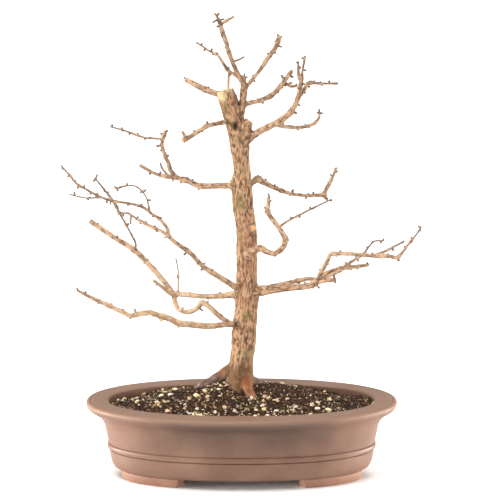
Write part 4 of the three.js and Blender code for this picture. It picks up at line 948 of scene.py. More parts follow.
LEFT_LIMBS = (
    # Upper left limb, cut at its end
    {"girth": [2.8, 2.8, 2.4, 2.5, 3], "cut": True, "knuckles": [0.55],
     "path": [[-8, 10, 415], [-22, 0, 415], [-36, -8, 413], [-40, -11, 412], [-47, -15, 408],
              [-58, -21, 402], [-66, -25, 398]],
     "spurs": [[-39, -9, 417.5], [-53.5, -17.5, 408.5], [-43.5, -13.5, 406.5]]},
    {"girth": [1.6, 1.8], "path": [[-60, -22, 401], [-63, -24, 403], [-66, -27, 408]]},
    # Middle left limb and its rising fork
    {"girth": [3.8, 3.4, 3.3, 3.3, 3, 1.9, 2], "knuckles": [0.36, 0.55, 0.72],
     "path": [[-2, 11, 339], [-19, 18, 339], [-42, 26, 337], [-50, 29, 337], [-57, 31, 340],
              [-65, 33, 343], [-83, 38, 346], [-94, 41, 347], [-103, 44, 350], [-117, 49, 357]],
     "spurs": [[-49.5, 28.5, 332.5], [-56, 31, 344], [-70, 34, 339.5], [-79, 36.5, 340], [-93.5, 41, 351],
               [-106, 44, 347.5], [-61.5, 32.5, 346]]},
    {"girth": [2.7, 2.5, 2.2, 2.1, 2.2], "knuckles": [0.5, 0.93],
     "path": [[-74, 36, 344], [-82, 32, 355], [-84, 28, 364], [-87, 25, 371], [-91, 20, 386],
              [-90, 18, 392], [-87, 13, 402]],
     "spurs": [[-97, 20, 384.5], [-83.5, 24.5, 373], [-92.5, 21.5, 379], [-92, 15, 400], [-84, 13, 404],
               [-80.5, 31.5, 358]]},
    {"girth": [1.4, 1.1, 1.2, 0.8], "knuckles": [0.5],
     "path": [[-89, 18, 393], [-98, 22, 393], [-111, 28, 393], [-119, 32, 395], [-137, 40, 400],
              [-151, 45, 403]],
     "spurs": [[-110.5, 28, 390.5], [-118.5, 32, 398], [-129, 36.5, 395], [-137.5, 40.5, 402.5],
               [-149, 44.5, 405.5]]},
    {"girth": [1.4, 1.2], "path": [[-83, 38, 345], [-88, 44, 350], [-92, 49, 354], [-94, 53, 359]]},
    # Long lower left limb, reaching forward to the furthest tip
    {"girth": [3.6, 3.4, 2.9, 2.6, 2.2], "knuckles": [0.42, 0.75, 0.97],
     "path": [[2, 9, 217], [-8, -2, 225], [-15, -8, 231], [-36, -20, 247], [-44, -25, 254],
              [-58, -34, 271], [-72, -42, 283], [-80, -47, 291], [-82, -49, 296]],
     "spurs": [[-59.5, -36, 276.5], [-65, -35.5, 269], [-50.5, -30, 257], [-41, -26, 258],
               [-46, -25, 249], [-32.5, -20, 249], [-23.5, -12.5, 234], [-76.5, -44, 285],
               [-86.5, -48.5, 291.5]]},
    {"girth": [2.3, 1.6, 1.7, 1.3, 1.4, 1.2, 0.8], "knuckles": [0.17, 0.53, 0.8, 0.9],
     "path": [[-82, -48, 292], [-83, -52, 302], [-93, -57, 316], [-100, -60, 321], [-111, -64, 330],
              [-126, -70, 335], [-145, -75, 339], [-159, -78, 345], [-174, -81, 354], [-182, -82, 359],
              [-189, -83, 368], [-199, -84, 380]],
     "spurs": [[-149.5, -75.5, 336.5], [-145.5, -75, 335], [-181.5, -81.5, 354], [-192, -83, 367],
               [-183.5, -82, 363], [-159, -78.5, 348], [-126, -70, 332], [-111, -64, 333],
               [-99, -59.5, 317.5], [-173.5, -81, 357], [-167.5, -79.5, 347], [-198, -84, 376]]},
    {"girth": [1.5, 0.8, 0.8, 0.8, 1.6], "knuckles": [0.45],
     "path": [[-102.5, -61, 323], [-105, -56, 335], [-108, -51, 341], [-118, -43, 349], [-129, -38, 349],
              [-140, -32, 345]],
     "spurs": [[-143, -32, 346.5], [-139.5, -32, 342], [-107, -47.5, 346], [-113, -47.5, 343],
               [-101.5, -56, 336], [-128.5, -38, 351.5]]},
    {"girth": [2.1, 1.8, 1.9, 1.1, 1.3], "knuckles": [0.3, 0.6],
     "path": [[-80, -48, 292], [-89, -41, 297], [-96, -36, 299], [-110, -27, 304], [-117, -22, 307],
              [-129, -14, 313], [-136, -10, 312]],
     "spurs": [[-138, -10, 313.5], [-134.5, -10.5, 309], [-117, -21.5, 310.5], [-114.5, -25, 303],
               [-108, -28, 306.5], [-96, -37, 296]]},
    {"girth": [1.3, 1.1], "path": [[-125, -17, 311], [-126, -16, 306], [-126, -14, 301]]},
    {"girth": [1.4, 0.8, 0.8],
     "path": [[-144, -75, 339], [-155, -69, 341], [-171, -60, 339], [-178, -56, 339], [-192, -48, 341]],
     "spurs": [[-187, -50.5, 344], [-171, -60, 337], [-162, -65, 343.5]]},
    # Level left limb, and the one that climbs away from its end
    {"girth": [4.8, 3.4, 2.9, 2.9, 2.8], "knuckles": [0.97],
     "path": [[2, 10, 212], [-9, 14, 212], [-19, 18, 210], [-42, 27, 207], [-66, 36, 207],
              [-80, 41, 207]],
     "spurs": [[-25, 20.5, 213.5], [-39, 25.5, 204], [-60, 33.5, 210.5]]},
    {"girth": [3.1, 3.1, 3.3, 2.8, 2.9], "cut": True, "knuckles": [0.3, 0.55],
     "path": [[-77, 40, 204], [-86, 45, 215], [-95, 50, 225], [-113, 59, 243], [-127, 65, 255],
              [-149, 73, 267], [-160, 77, 274], [-178, 83, 285]],
     "spurs": [[-95.5, 49, 221.5], [-109.5, 58, 244.5], [-127, 64, 251], [-145, 72.5, 269.5],
               [-160.5, 76.5, 270.5], [-168.5, 80, 283.5]]},
    {"girth": [1.3, 1, 1.8, 0.8], "knuckles": [0.35, 0.6],
     "path": [[-124, 63, 253], [-124, 57, 265], [-127, 53, 272], [-133, 46, 286], [-141, 38, 303],
              [-146, 32, 315], [-154, 26, 328], [-167, 17, 347]],
     "spurs": [[-165, 17, 352], [-169.5, 17, 344.5], [-131, 45.5, 289], [-143, 38, 302],
               [-158, 24, 331.5], [-124.5, 55.5, 269]]},
    {"girth": [1.2, 0.8, 0.8], "knuckles": [0.5],
     "path": [[-74, 38, 206], [-74, 45, 218], [-74, 51, 231], [-77, 58, 246]]},
    {"girth": [2, 2.2, 1.7], "cut": True,
     "path": [[-78, 40, 204], [-87, 32, 212], [-91, 28, 217], [-102, 19, 228]],
     "spurs": [[-99, 23.5, 220.5], [-87.5, 30, 217.5]]},
    # Hook under the level limb, grown together with its end
    {"girth": [2.8, 3, 3, 2.9, 2.5, 2.7, 3.2], "knuckles": [0.42, 0.66],
     "path": [[-9, 5, 178], [-19, 4, 184], [-26, 5, 189], [-40, 9, 201], [-46, 12, 203], [-49, 15, 198],
              [-52, 18, 194], [-57, 21, 191], [-66, 25, 189], [-73, 30, 191], [-77, 35, 197],
              [-79, 40, 205]],
     "spurs": [[-45, 16, 192.5], [-68, 27.5, 194], [-62, 23.5, 186.5], [-76.5, 32.5, 194],
               [-38.5, 9.5, 205.5]]},
    # Lowest left limb
    {"girth": [4.8, 3, 3.7, 3.7, 3.7, 3.1, 2.8, 2.6, 2.4, 1.5], "knuckles": [0.4, 0.5, 0.66, 0.82],
     "path": [[4, 9, 177], [-6, 1, 180], [-16, -4, 181], [-38, -17, 182], [-56, -27, 186],
              [-72, -36, 190], [-79, -40, 195], [-92, -47, 201], [-103, -53, 206], [-114, -58, 206],
              [-125, -63, 205], [-132, -66, 209], [-151, -73, 220], [-169, -79, 230], [-182, -83, 238]],
     "spurs": [[-72, -35, 184.5], [-120, -60, 212], [-107.5, -55.5, 203], [-162.5, -77, 224],
               [-145, -71.5, 221], [-132, -66.5, 213], [-173.5, -81, 236.5], [-183.5, -83, 241],
               [-56.5, -27, 190.5], [-125.5, -63, 201.5]]},
    # Small pruned stubs on the trunk and on the lowest limb
    {"girth": [3.6, 2.9], "cut": True, "path": [[-3, 11, 341], [-13, 5.5, 346.5]]},
    {"girth": [4.6, 3.4], "cut": True, "path": [[8, 8, 291], [13.6, -3.4, 294]]},
    {"girth": [2.6, 2.4], "cut": True, "path": [[-89, -45, 199], [-92, -50, 197]]},
    {"girth": [2.8, 2.4], "cut": True, "path": [[48, -39, 284], [48.4, -46.5, 286]]},
)
ROOTS = (
    {"girth": [8, 8, 7.2, 6.4, 5.6, 4.6],
     "path": [[-3, 8, 132], [-12, 9, 124.5], [-19, 11, 118.5], [-25, 13, 114], [-33, 17, 108],
              [-42, 20.5, 102], [-49, 24, 96], [-60, 30, 84]]},
    {"girth": [7, 7.4, 6.8, 5.6, 4.4, 3.6],
     "path": [[1, 4, 124], [4.5, -5, 114], [7, -11, 107], [10.5, -16, 100], [13.5, -20, 94],
              [18, -25, 82]]},
    {"girth": [6.5, 5.8, 4.8, 4, 3.4], "path": [[2, 10, 118], [11, 12, 111], [19, 14, 107], [26, 16, 103],
                                              [33, 18, 98], [45, 21, 86]]},
    {"girth": [7, 6.2, 4.8, 3.6], "path": [[-1, 13, 118], [-5, 24, 108], [-9, 33, 100], [-14, 44, 89]]},
    {"girth": [6.5, 5.8, 4.6, 3.4], "path": [[3, 13, 116], [12, 22, 106], [20, 30, 99], [29, 39, 88]]},
    {"girth": [6.5, 5.6, 4.4, 3.4], "path": [[-3, 6, 112], [-9, -3, 104.5], [-16, -11, 98],
                                             [-26, -22, 86]]},
)
# How the foot of the trunk spreads to each root: [bearing in degrees, how far, from what height]
ROOT_FLARES = ((162, 9, 150), (-58, 6, 130), (106, 6, 126), (50, 4, 120))
FLARE_WIDTH = 26
FLARE_FOOT = 100
FLARE_CURVE = 1.7
# Patterns of the bark, each with its size across in millimetres, how much longer it is than wide and
# where in the noise it is drawn from
TRUNK_WANDER = (14.0, 2.0, 3.0)
TRUNK_STRIPS = (2.1, 4.6)
TRUNK_FLAKES = (3.4, 1.9, 40.0)
TRUNK_FIBRES = (1.3, 3.4, 70.0)
TRUNK_SWELL = (11.0, 1.6, 120.0)
LIMB_LUMPS = (4.2, 1.3, 7.0)
LIMB_CRACKS = (1.3, 3.0, 21.0)
ROOT_LUMPS = (5.5, 1.6, 60.0)
ROOT_WRINKLES = (1.9, 4.0, 33.0)
STRIP_WANDER = (2.2, -2.2, 0)
CRACK_WIDTH = 0.13
# How far a sawn end, and a round tip as a share of its girth, goes on past the end of its route, and
# the share of its girth that is left there
CUT_STEPS = ((0.12, 0.86), (0.2, 0.45))
TIP_STEPS = ((0.34, 0.87), (0.62, 0.5))
TIP_POLE = 0.16
TRUNK_SIDES = 128
TRUNK_RING = 1.06
# How bare the wood of the trunk's top is, which has weathered
TRUNK_TOP_BARE = 0.25
# The station whose radius stands for the whole trunk
TRUNK_MIDDLE = 8
LIMB_RING = 2.0
# The sides of a limb whose root end is stouter than each of these radii
LIMB_SIDES = ((3.8, 18), (1.5, 12), (0, 9))
ROOT_RING = 1.2
ROOT_SIDES = 30
# Each limb's bark is drawn from its own part of the noise, this far past the one before
LIMB_SHIFT = 37.0
KNUCKLE_SWELL = 0.7
KNUCKLE_REACH = 2.6
COLLAR_SHARE = 0.3
COLLAR_REACH = 1.3
# The profiles of spurs and buds, as fractions of their length and the shares of their radius there
SPUR_RADIUS = 1.25
SPUR_RANGE = (0.8, 1.15)
SPUR_PROFILE = ((0, 0.5, 0.8, 1), (1.2, 0.95, 1.1, 0.8))
SPUR_RINGS = 7
SPUR_TONE = 0.55
BUD_SPACING = 34
BUD_LENGTH = 2.1
BUD_RADIUS = 1.15
BUD_PROFILE = ((0, 0.35, 0.75, 1), (0.8, 1.0, 0.8, 0.5))
BUD_RINGS = 6
BUD_TONE = 0.4
BUD_SINK = 0.6
# How far a bud leans out of its shoot's direction, and how far buds turn on from opposite sides
BUD_LEAN = 0.7
BUD_TWIST = 2.2
# The place of the first bud and how far each can stray, as shares of the space between two
BUD_START = 0.55
BUD_STRAY = 0.3
BUD_AFTER = 0.4
BUD_SEED = 7
THICKEST_BUDDED = 3.4
SPUR_SIDES = 8
# The number of every spur and bud, which get no collar
SPUR_NUMBER = -1
# The saw's flat, as a point on it and the way it faces, half its width, how deep the saw went, and how
# far the rings' middle is from the middle of the flat
SAW_POINT = (-23.1, -1, 442.8)
SAW_FACING = (-0.41, -0.81, 0.43)
SAW_REACH = 16.0
SAW_DEPTH = 14
SAW_RINGS = 5
WOUND_CENTRE = (-6.7, -2.4, 411)
WOUND_HALF = (2.4, 3.4, 4.8)
WOUND_GIRTH = 9.0
WOUND_DENTS = 0.35
DENT_SIZE = 0.6
# How far a soft collar reaches as a share of the thinner limb's radius, how many times it is
# smoothed, and how strongly
SEAM_REACH = 1.5
SEAM_ROUNDS = 14
SEAM_PULL = 0.7
# How dark the painted shade at a limb's base is, where it meets the trunk, and how wide
CREASE_SHADE = 0.3
CREASE_SHADE_REACH = 1.6
# The radii between which a shoot's bark turns into a trunk's, and those up to which thin skin shows
SHOOT_BARK_TO, TRUNK_BARK_FROM = 3.5, 8.0
THIN_SKIN_FULL, THIN_SKIN_GONE = 0.9, 1.7
# Strands to a millimetre, the size of the mottle, and the wave of the growth rings to a millimetre
STRANDS = 0.6
BARK_MOTTLE_SIZE = 6.25
RING_WAVE = 6
# How much steeper than a cone a place on the bark fades
PLACE_STEEPNESS = 1.6
BARK_CRISPEST = 62
BARK_FURROW = "452f20"
BARK_MID = "896549"
BARK_RIDGE = "bd9773"
TWIG_TAN = "927053"
TWIG_PALE = "c09d7d"
TWIG_DARK = "48352a"
THIN_SKIN = "5c4941"
WOOD_CREAM = "f3e0b4"
WOOD_ORANGE = "dba878"
# What shows through the bark, or is painted on it as shade, its colour, how strongly, and where: [x, y, z,
# reach]
BARK_PLACES = (
    ("root_skin", "443130", 0.95, ((-46, 21, 102, 24), (-33, 15, 107, 18), (-27, 12, 112, 15),
                                   (28, 16, 104, 18), (19, 10, 112, 8), (-4, 40, 96, 22),
                                   (24, 34, 96, 20), (-16, -11, 98, 14))),
    ("sun_bleached", "d6b692", 0.55, ((-80, 0, 215, 75), (-125, -50, 240, 65), (-40, 5, 210, 30),
                                      (-15, 2, 456, 9))),
    ("golden_fibre", "5f3d1c", 1.0, ((-8, -5, 116, 24), (4, -6, 121, 22), (-14, 2, 125, 15),
                                     (-8, -6, 106, 20), (0, -8, 102, 14))),
    ("inner_bark", "7f411d", 0.85, ((9, -12, 113, 13), (11, -17, 103, 9), (-22, 8, 121, 6),
                                    (10.5, 0, 335, 5))),
    ("warm_skin", "8a5438", 0.35, ((6, -4, 300, 15), (7, -4, 276, 16), (8, -3, 244, 14), (5, -4, 205, 14),
                                   (0, -3, 226, 12), (-9, 0, 440, 8), (1, -3, 174, 12))),
    ("algae", "756a38", 0.5, ((0, -3, 359, 12), (-4, -2, 322, 15), (8, -2, 146, 11), (-13, 0, 414, 6),
                              (-4, -2, 396, 8), (14, 17, 344, 8), (-17, -2, 432, 7), (6, 0, 190, 9),
                              (-4, 2, 280, 10), (14, 2, 168, 8))),
    ("smooth_skin", "a97d60", 0.45, ((-7, 1, 376, 11), (-13, -1, 428, 9), (-9, -1, 420, 8))),
    ("fresh_wood", "f2d99e", 1.0, ((-24, -1.5, 445.5, 9), (-26.5, 2, 448, 6), (0.8, -3, 411.5, 2.6),
                                   (12.5, -3, 416, 4), (-15, 3, 452, 4))),
    # The wound's own dark wood, with painted shade in its pit and beside it
    ("hollow", "48321b", 0.9, ((-6.7, -1, 409, 4.6), (-1.5, -3, 407, 3.4), (-7, -2, 414, 4),
                               (-11, 2, 317, 6))),
    # Painted shade in the crevice beside the sawn top, in the wound, where limbs leave the trunk and where
    # a root meets the soil
    ("painted_crevice_shade", "24180f", 1.0, ((-8.6, 7, 451, 5.6), (-7, 7, 446.5, 5.4), (-4.8, 6, 441, 5),
                                  (-3.4, 5, 436, 4), (-7, -1, 411.5, 2.4), (-7, -3, 181, 4.5),
                                  (5, -4, 251, 4), (12, -19, 97, 4))),
)


def along(values, fractions):
    """The values that lie these fractions of the way along an evenly spaced list."""
    return np.interp(fractions, np.linspace(0, 1, len(values)), values)


def noise_at(places, scale, stretch=1.0, offset=0.0):
    """Smooth noise at every place, drawn out along the third axis."""
    return np.array([noise.noise(Vector((x / scale, y / scale, z / (scale * stretch) + offset)))
                     for x, y, z in places])


def marked_shell(points, faces, marks, number):
    """One closed shell of the tree, with what its bark needs to know at every corner."""
    made = new_object("shell", points, faces, bark)
    for name, values in marks.items():
        kind, field = ("FLOAT_VECTOR", "vector") if values.ndim == 2 else ("FLOAT", "value")
        layer = made.data.attributes.new(name, kind, "POINT")
        layer.data.foreach_set(field, values.astype(np.float32).ravel())
    layer = made.data.attributes.new("shell_number", "INT", "FACE")
    layer.data.foreach_set("value", np.full(len(faces), number, dtype=np.int32))
    return made


def bark_shell(centres, gone, girths, relief, sides, cut, number, tone=1.0):
    """A shell along the centres. relief takes straightened places and girths and gives how far the
    bark stands out. cut is how bare the wood of a flat, pruned end is, and is 0 for a round tip. A
    low tone makes the bark dark."""
    heads = directions(centres)
    steps = CUT_STEPS if cut else [(ahead * girths[-1], share) for ahead, share in TIP_STEPS]
    centres = np.concatenate([centres] + [[centres[-1] + heads[-1] * ahead] for ahead, _ in steps])
    gone = np.concatenate([gone, [gone[-1] + ahead for ahead, _ in steps]])
    girths = np.concatenate([girths, [girths[-1] * share for _, share in steps]])
    bare = np.concatenate([np.zeros(len(heads)), [cut] * len(steps)])
    heads = np.concatenate([heads] + [heads[-1:]] * len(steps))
    angles = np.tile(np.linspace(0, 2 * math.pi, sides, endpoint=False), len(centres))
    radii = np.repeat(girths, sides)
    straight = np.stack([np.cos(angles) * radii, np.sin(angles) * radii, np.repeat(gone, sides)], axis=1)
    lift, furrow = relief(straight, radii)
    lift *= 1 - np.repeat(bare > 0, sides)
    rings = rings_round(centres, heads, (radii + lift).reshape(-1, sides))
    tip = centres[-1] + (0 if cut else TIP_POLE * girths[-1]) * heads[-1]
    marks = {
        "straight": np.concatenate([straight, [(0, 0, gone[0]), (0, 0, gone[-1])]]),
        "girth": np.concatenate([radii, [girths[0], girths[-1]]]),
        "bare_wood": np.concatenate([np.repeat(bare, sides), [0, bare[-1]]]),
        "furrow": np.concatenate([furrow * tone, [0.5, 0.5]]),
    }
    points = np.concatenate([rings, centres[:1], [tip]])
    return marked_shell(points, ring_faces(len(centres), sides), marks, number)


def trunk_relief(straight, girths):
    """Bark of the trunk: narrow fibrous strips that lift into short flakes, parted by broken
    cracks, over the spread of the trunk's foot towards its roots."""
    wander = noise_at(straight, *TRUNK_WANDER)[:, None] * STRIP_WANDER
    strips = noise_at(straight + wander, *TRUNK_STRIPS)
    flakes = noise_at(straight, *TRUNK_FLAKES)
    fibres = noise_at(straight, *TRUNK_FIBRES)
    swell = noise_at(straight, *TRUNK_SWELL)
    crack = 1 - np.clip(np.abs(strips) / CRACK_WIDTH, 0, 1)
    crack *= np.clip(2.2 * flakes + 0.35, 0, 1)
    furrow = np.clip(0.62 + 0.55 * strips + 0.35 * flakes + 0.7 * fibres - 0.4 * crack, 0, 1)
    lift = 0.7 * strips + 0.5 * flakes + 0.45 * fibres - 0.6 * crack + 0.8 * swell
    height = straight[:, 2] + TRUNK_STATIONS[0][2]
    bearings = np.degrees(np.arctan2(straight[:, 1], straight[:, 0]))
    for bearing, spread, top in ROOT_FLARES:
        turn = (bearings - bearing + 180) % 360 - 180
        rise = np.clip((top - height) / (top - FLARE_FOOT), 0, 1)
        lift = lift + spread * np.exp(-(turn / FLARE_WIDTH) ** 2) * rise ** FLARE_CURVE
    return lift, furrow


def limb_relief(straight, girths):
    """Bark of a limb: slight lumps and fine cracks, deeper where the limb is stouter."""
    lumps = noise_at(straight, *LIMB_LUMPS)
    cracks = noise_at(straight, *LIMB_CRACKS)
    depth = np.minimum(0.06 * girths, 0.4)
    return depth * (1.6 * lumps + 1.1 * cracks), np.clip(0.55 + 0.5 * lumps + 0.7 * cracks, 0, 1)


def root_relief(straight, girths):
    """Bark of a root: stouter lumps and long wrinkles."""
    lumps = noise_at(straight, *ROOT_LUMPS)
    wrinkles = noise_at(straight, *ROOT_WRINKLES)
    return 1.3 * lumps + 0.8 * wrinkles, np.clip(0.5 + 0.4 * lumps + 0.8 * wrinkles, 0, 1)


bark, bark_tree, bark_shader = new_material("dawn_redwood_bark")
# Fibrous bark in short narrow strips: pale on their ridges, dark in the cracks, and matt. Shoots are
# smoother and tan, and the thinnest ones purplish brown. Red inner bark, algae and root skin show in
# places, and cream wood where a limb was sawn off. Painted shade darkens the crevice beside the sawn
# top, the seams at the bases of limbs and part of the wound's hollow
straight_place = add(bark_tree, "ShaderNodeAttribute", attribute_name="straight").outputs["Vector"]
girth_here = add(bark_tree, "ShaderNodeAttribute", attribute_name="girth").outputs["Fac"]
furrow_here = add(bark_tree, "ShaderNodeAttribute", attribute_name="furrow").outputs["Fac"]
bare_here = add(bark_tree, "ShaderNodeAttribute", attribute_name="bare_wood").outputs["Fac"]
strand_place = add(bark_tree, "ShaderNodeMapping", {"Vector": straight_place, "Scale": (1, 1, 0.3)})
strands = add(bark_tree, "ShaderNodeTexNoise",
              {"Vector": strand_place, "Scale": STRANDS, "Detail": 4.0, "Roughness": 0.7})
mottle = add(bark_tree, "ShaderNodeTexNoise",
             {"Vector": straight_place, "Scale": 1 / BARK_MOTTLE_SIZE, "Detail": 3.0,
              "Roughness": 0.65})
strand_part = add(bark_tree, "ShaderNodeMath", {0: strands, 1: 1.1, 2: -0.35}, operation="MULTIPLY_ADD")
mottle_part = add(bark_tree, "ShaderNodeMath", {0: mottle, 1: 0.7, 2: strand_part},
                  operation="MULTIPLY_ADD")
bark_sum = add(bark_tree, "ShaderNodeMath", {0: furrow_here, 1: 0.6, 2: mottle_part},
               operation="MULTIPLY_ADD")
trunk_tone = add(bark_tree, "ShaderNodeValToRGB", {"Fac": bark_sum},
                 stops=((0.45, BARK_FURROW), (0.82, BARK_MID), (1.08, BARK_RIDGE)))
twig_tone = add(bark_tree, "ShaderNodeValToRGB", {"Fac": bark_sum},
                stops=((0.42, TWIG_DARK), (0.8, TWIG_TAN), (1.02, TWIG_PALE)))
stoutness = add(bark_tree, "ShaderNodeMapRange",
                {"Value": girth_here, "From Min": SHOOT_BARK_TO, "From Max": TRUNK_BARK_FROM})
bark_tone = add(bark_tree, "ShaderNodeMix",
                {"Factor": stoutness, "A": twig_tone, "B": trunk_tone}, data_type="RGBA")
thin_skin = add(bark_tree, "ShaderNodeMapRange",
                {"Value": girth_here, "From Min": THIN_SKIN_FULL, "From Max": THIN_SKIN_GONE,
                 "To Min": 0.7, "To Max": 0.0})
bark_tone = add(bark_tree, "ShaderNodeMix",
                {"Factor": thin_skin, "A": bark_tone, "B": linear(THIN_SKIN)}, data_type="RGBA")
broken = add(bark_tree, "ShaderNodeMapRange",
             {"Value": strands, "From Min": 0.3, "From Max": 0.6, "To Min": 0.55})
for name, colour, strength, _ in BARK_PLACES:
    shown = add(bark_tree, "ShaderNodeAttribute", attribute_name=name).outputs["Fac"]
    share = add(bark_tree, "ShaderNodeMath", {0: shown, 1: broken}, operation="MULTIPLY")
    part = add(bark_tree, "ShaderNodeMath", {0: share, 1: strength}, operation="MULTIPLY")
    bark_tone = add(bark_tree, "ShaderNodeMix",
                    {"Factor": part, "A": bark_tone, "B": linear(colour)}, data_type="RGBA")
# Growth rings, as waves in the distance from the pith
wood_place = add(bark_tree, "ShaderNodeVectorMath",
                 {0: straight_place, 1: (RING_WAVE, RING_WAVE, 0)}, operation="MULTIPLY")
wood_reach = add(bark_tree, "ShaderNodeVectorMath", {0: wood_place}, operation="LENGTH")
wood_wave = add(bark_tree, "ShaderNodeMath", {0: wood_reach}, operation="SINE")
wood_shade = add(bark_tree, "ShaderNodeMapRange", {"Value": wood_wave, "From Min": -1.0, "To Min": 0.85})
wood_tone = add(bark_tree, "ShaderNodeMix",
                {"Factor": stoutness, "A": linear(WOOD_ORANGE), "B": linear(WOOD_CREAM)},
                data_type="RGBA")
wood_ringed = add(bark_tree, "ShaderNodeVectorMath", {0: wood_tone, "Scale": wood_shade},
                  operation="SCALE")
cut_tone = add(bark_tree, "ShaderNodeMix",
               {"Factor": bare_here, "A": bark_tone, "B": wood_ringed}, data_type="RGBA")
bark_bump = add(bark_tree, "ShaderNodeBump", {"Height": strands, "Strength": 0.7, "Distance": 0.6 * MM})
bark_rough = add(bark_tree, "ShaderNodeMapRange",
                 {"Value": girth_here, "From Min": 1.0, "From Max": 6.0, "To Min": 0.62, "To Max": 0.9})
connect(bark_tree, bark_shader, {"Base Color": cut_tone, "Roughness": bark_rough, "Normal": bark_bump})

tree_limbs = TOP_LIMBS + RIGHT_LIMBS + LEFT_LIMBS
trunk_route = [p[:3] for p in TRUNK_STATIONS]
_, trunk_length = smooth_route(trunk_route, 1)
trunk_places, trunk_length = smooth_route(trunk_route, round(trunk_length / TRUNK_RING))
trunk_girths = np.interp(trunk_places[:, 2], [p[2] for p in TRUNK_STATIONS],
                         [p[3] for p in TRUNK_STATIONS])
trunk_gone = np.linspace(0, trunk_length, len(trunk_places))
trunk = bark_shell(trunk_places, trunk_gone, trunk_girths, trunk_relief, TRUNK_SIDES, TRUNK_TOP_BARE, 0)


def cutter(points, faces, straight, bare, furrow):
    """A closed shell to cut out of the trunk, with the marks that the wood under it takes."""
    girth, bare, furrow = (np.full(len(points), value) for value in (WOUND_GIRTH, bare, furrow))
    marks = {"straight": straight, "girth": girth, "bare_wood": bare, "furrow": furrow}
    return marked_shell(points, faces, marks, 0)


# The saw took the front left corner off the top, and an old wound lies open on the front
facing = Vector(SAW_FACING).normalized()
level = facing.orthogonal().normalized()
upward = facing.cross(level)
block = [tuple(Vector(SAW_POINT) + facing * ahead + (level * a + upward * b) * SAW_REACH)
         for ahead in (0, SAW_DEPTH) for a, b in SQUARE]
flat = np.array([(a * SAW_REACH, b * SAW_REACH + SAW_RINGS, 0) for a, b in SQUARE] * 2)
ball = bmesh.new()
bmesh.ops.create_icosphere(ball, subdivisions=4, radius=1)
hollow_points = np.array([v.co for v in ball.verts])
hollow_faces = [tuple(v.index for v in f.verts) for f in ball.faces]
ball.free()
dents = 1 + WOUND_DENTS * noise_at(hollow_points, DENT_SIZE)[:, None]
hollow_points = hollow_points * dents * WOUND_HALF + WOUND_CENTRE
join_solids(trunk, [cutter(block, prism_faces(len(SQUARE)), flat, 1.0, 0.5),
                    cutter(hollow_points, hollow_faces, hollow_points - WOUND_CENTRE, 0.0, 0.0)],
            "DIFFERENCE")

limb_routes = []
shells = []
for number, limb in enumerate(tree_limbs + ROOTS, start=1):
    is_root = number > len(tree_limbs)
    stoutest = limb["girth"][0]
    _, length = smooth_route(limb["path"], 1)
    ring = ROOT_RING if is_root else LIMB_RING
    places, length = smooth_route(limb["path"], max(round(length / ring), 3))
    gone = np.linspace(0, length, len(places))
    girths = along(limb["girth"], gone / length)
    for knuckle in limb.get("knuckles", ()):
        girths = girths + KNUCKLE_SWELL * np.exp(-((gone - knuckle * length) / KNUCKLE_REACH) ** 2)
    # The collar swells where the limb comes out of the trunk. A limb that starts on another one has
    # come out of it after its own radius
    trunk_middles = [np.interp(places[:, 2], trunk_places[:, 2], trunk_places[:, i]) for i in (0, 1)]
    off_middle = np.hypot(*(places[:, :2] - np.stack(trunk_middles, axis=1)).T)
    buried = off_middle < np.interp(places[:, 2], trunk_places[:, 2], trunk_girths)
    buried &= places[:, 2] < TRUNK_STATIONS[-1][2]
    leaves = gone[buried][-1] if buried[0] else stoutest
    collar = np.exp(-np.clip(gone - leaves, 0, None) / (COLLAR_REACH * stoutest))
    girths = girths + (0 if is_root else COLLAR_SHARE) * stoutest * collar
    sides = ROOT_SIDES if is_root else next(count for least, count in LIMB_SIDES if stoutest > least)
    limb_routes.append((places, gone, girths))
    shells.append(bark_shell(places, gone + LIMB_SHIFT * number, girths,
                             root_relief if is_root else limb_relief, sides,
                             float(limb.get("cut", False)), number))

draw = random.Random(BUD_SEED)
for number, limb in enumerate(tree_limbs, start=1):
    places, gone, girths = limb_routes[number - 1]
    for tip in limb.get("spurs", ()):
        tip = np.array(tip, dtype=float)
        seat = places[np.argmin(np.linalg.norm(places - tip, axis=1))]
        steps = np.linspace(0, 1, SPUR_RINGS)
        swollen = SPUR_RADIUS * draw.uniform(*SPUR_RANGE) * np.interp(steps, *SPUR_PROFILE)
        spur_gone = steps * np.linalg.norm(tip - seat) + LIMB_SHIFT * number
        shells.append(bark_shell(seat + (tip - seat) * steps[:, None], spur_gone, swollen,
                                 limb_relief, SPUR_SIDES, 0, SPUR_NUMBER, SPUR_TONE))
    count = int(gone[-1] // BUD_SPACING)
    for k in range(count):
        fraction = (k + BUD_START + BUD_STRAY * draw.random()) / (count + BUD_AFTER)
        turn = math.pi * k + BUD_TWIST * draw.random()
        radius = along(girths, fraction)
        if radius > THICKEST_BUDDED:
            continue
        at = min(round(fraction * (len(places) - 1)), len(places) - 2)
        head = Vector(places[at + 1] - places[at]).normalized()
        sideways = Vector((0, 0, 1)).cross(head).normalized()
        sideways.rotate(Quaternion(head, turn))
        pointing = np.array((BUD_LEAN * sideways + head).normalized())
        seat = places[at] + np.array(sideways) * (radius - BUD_SINK)
        steps = np.linspace(0, 1, BUD_RINGS)
        shells.append(bark_shell(seat + pointing * BUD_LENGTH * steps[:, None],
                                 steps * BUD_LENGTH + LIMB_SHIFT * number,
                                 BUD_RADIUS * np.interp(steps, *BUD_PROFILE),
                                 limb_relief, SPUR_SIDES, 0, SPUR_NUMBER, BUD_TONE))
join_solids(trunk, shells, "UNION")
bonsai = trunk
bonsai.name = "dawn_redwood"
bonsai.data.name = "dawn_redwood"


def read(items, field, kind, width=1):
    """A field of every item as an array."""
    values = np.empty(width * len(items), dtype=kind)
    items.foreach_get(field, values)
    return values.reshape(-1, width) if width > 1 else values


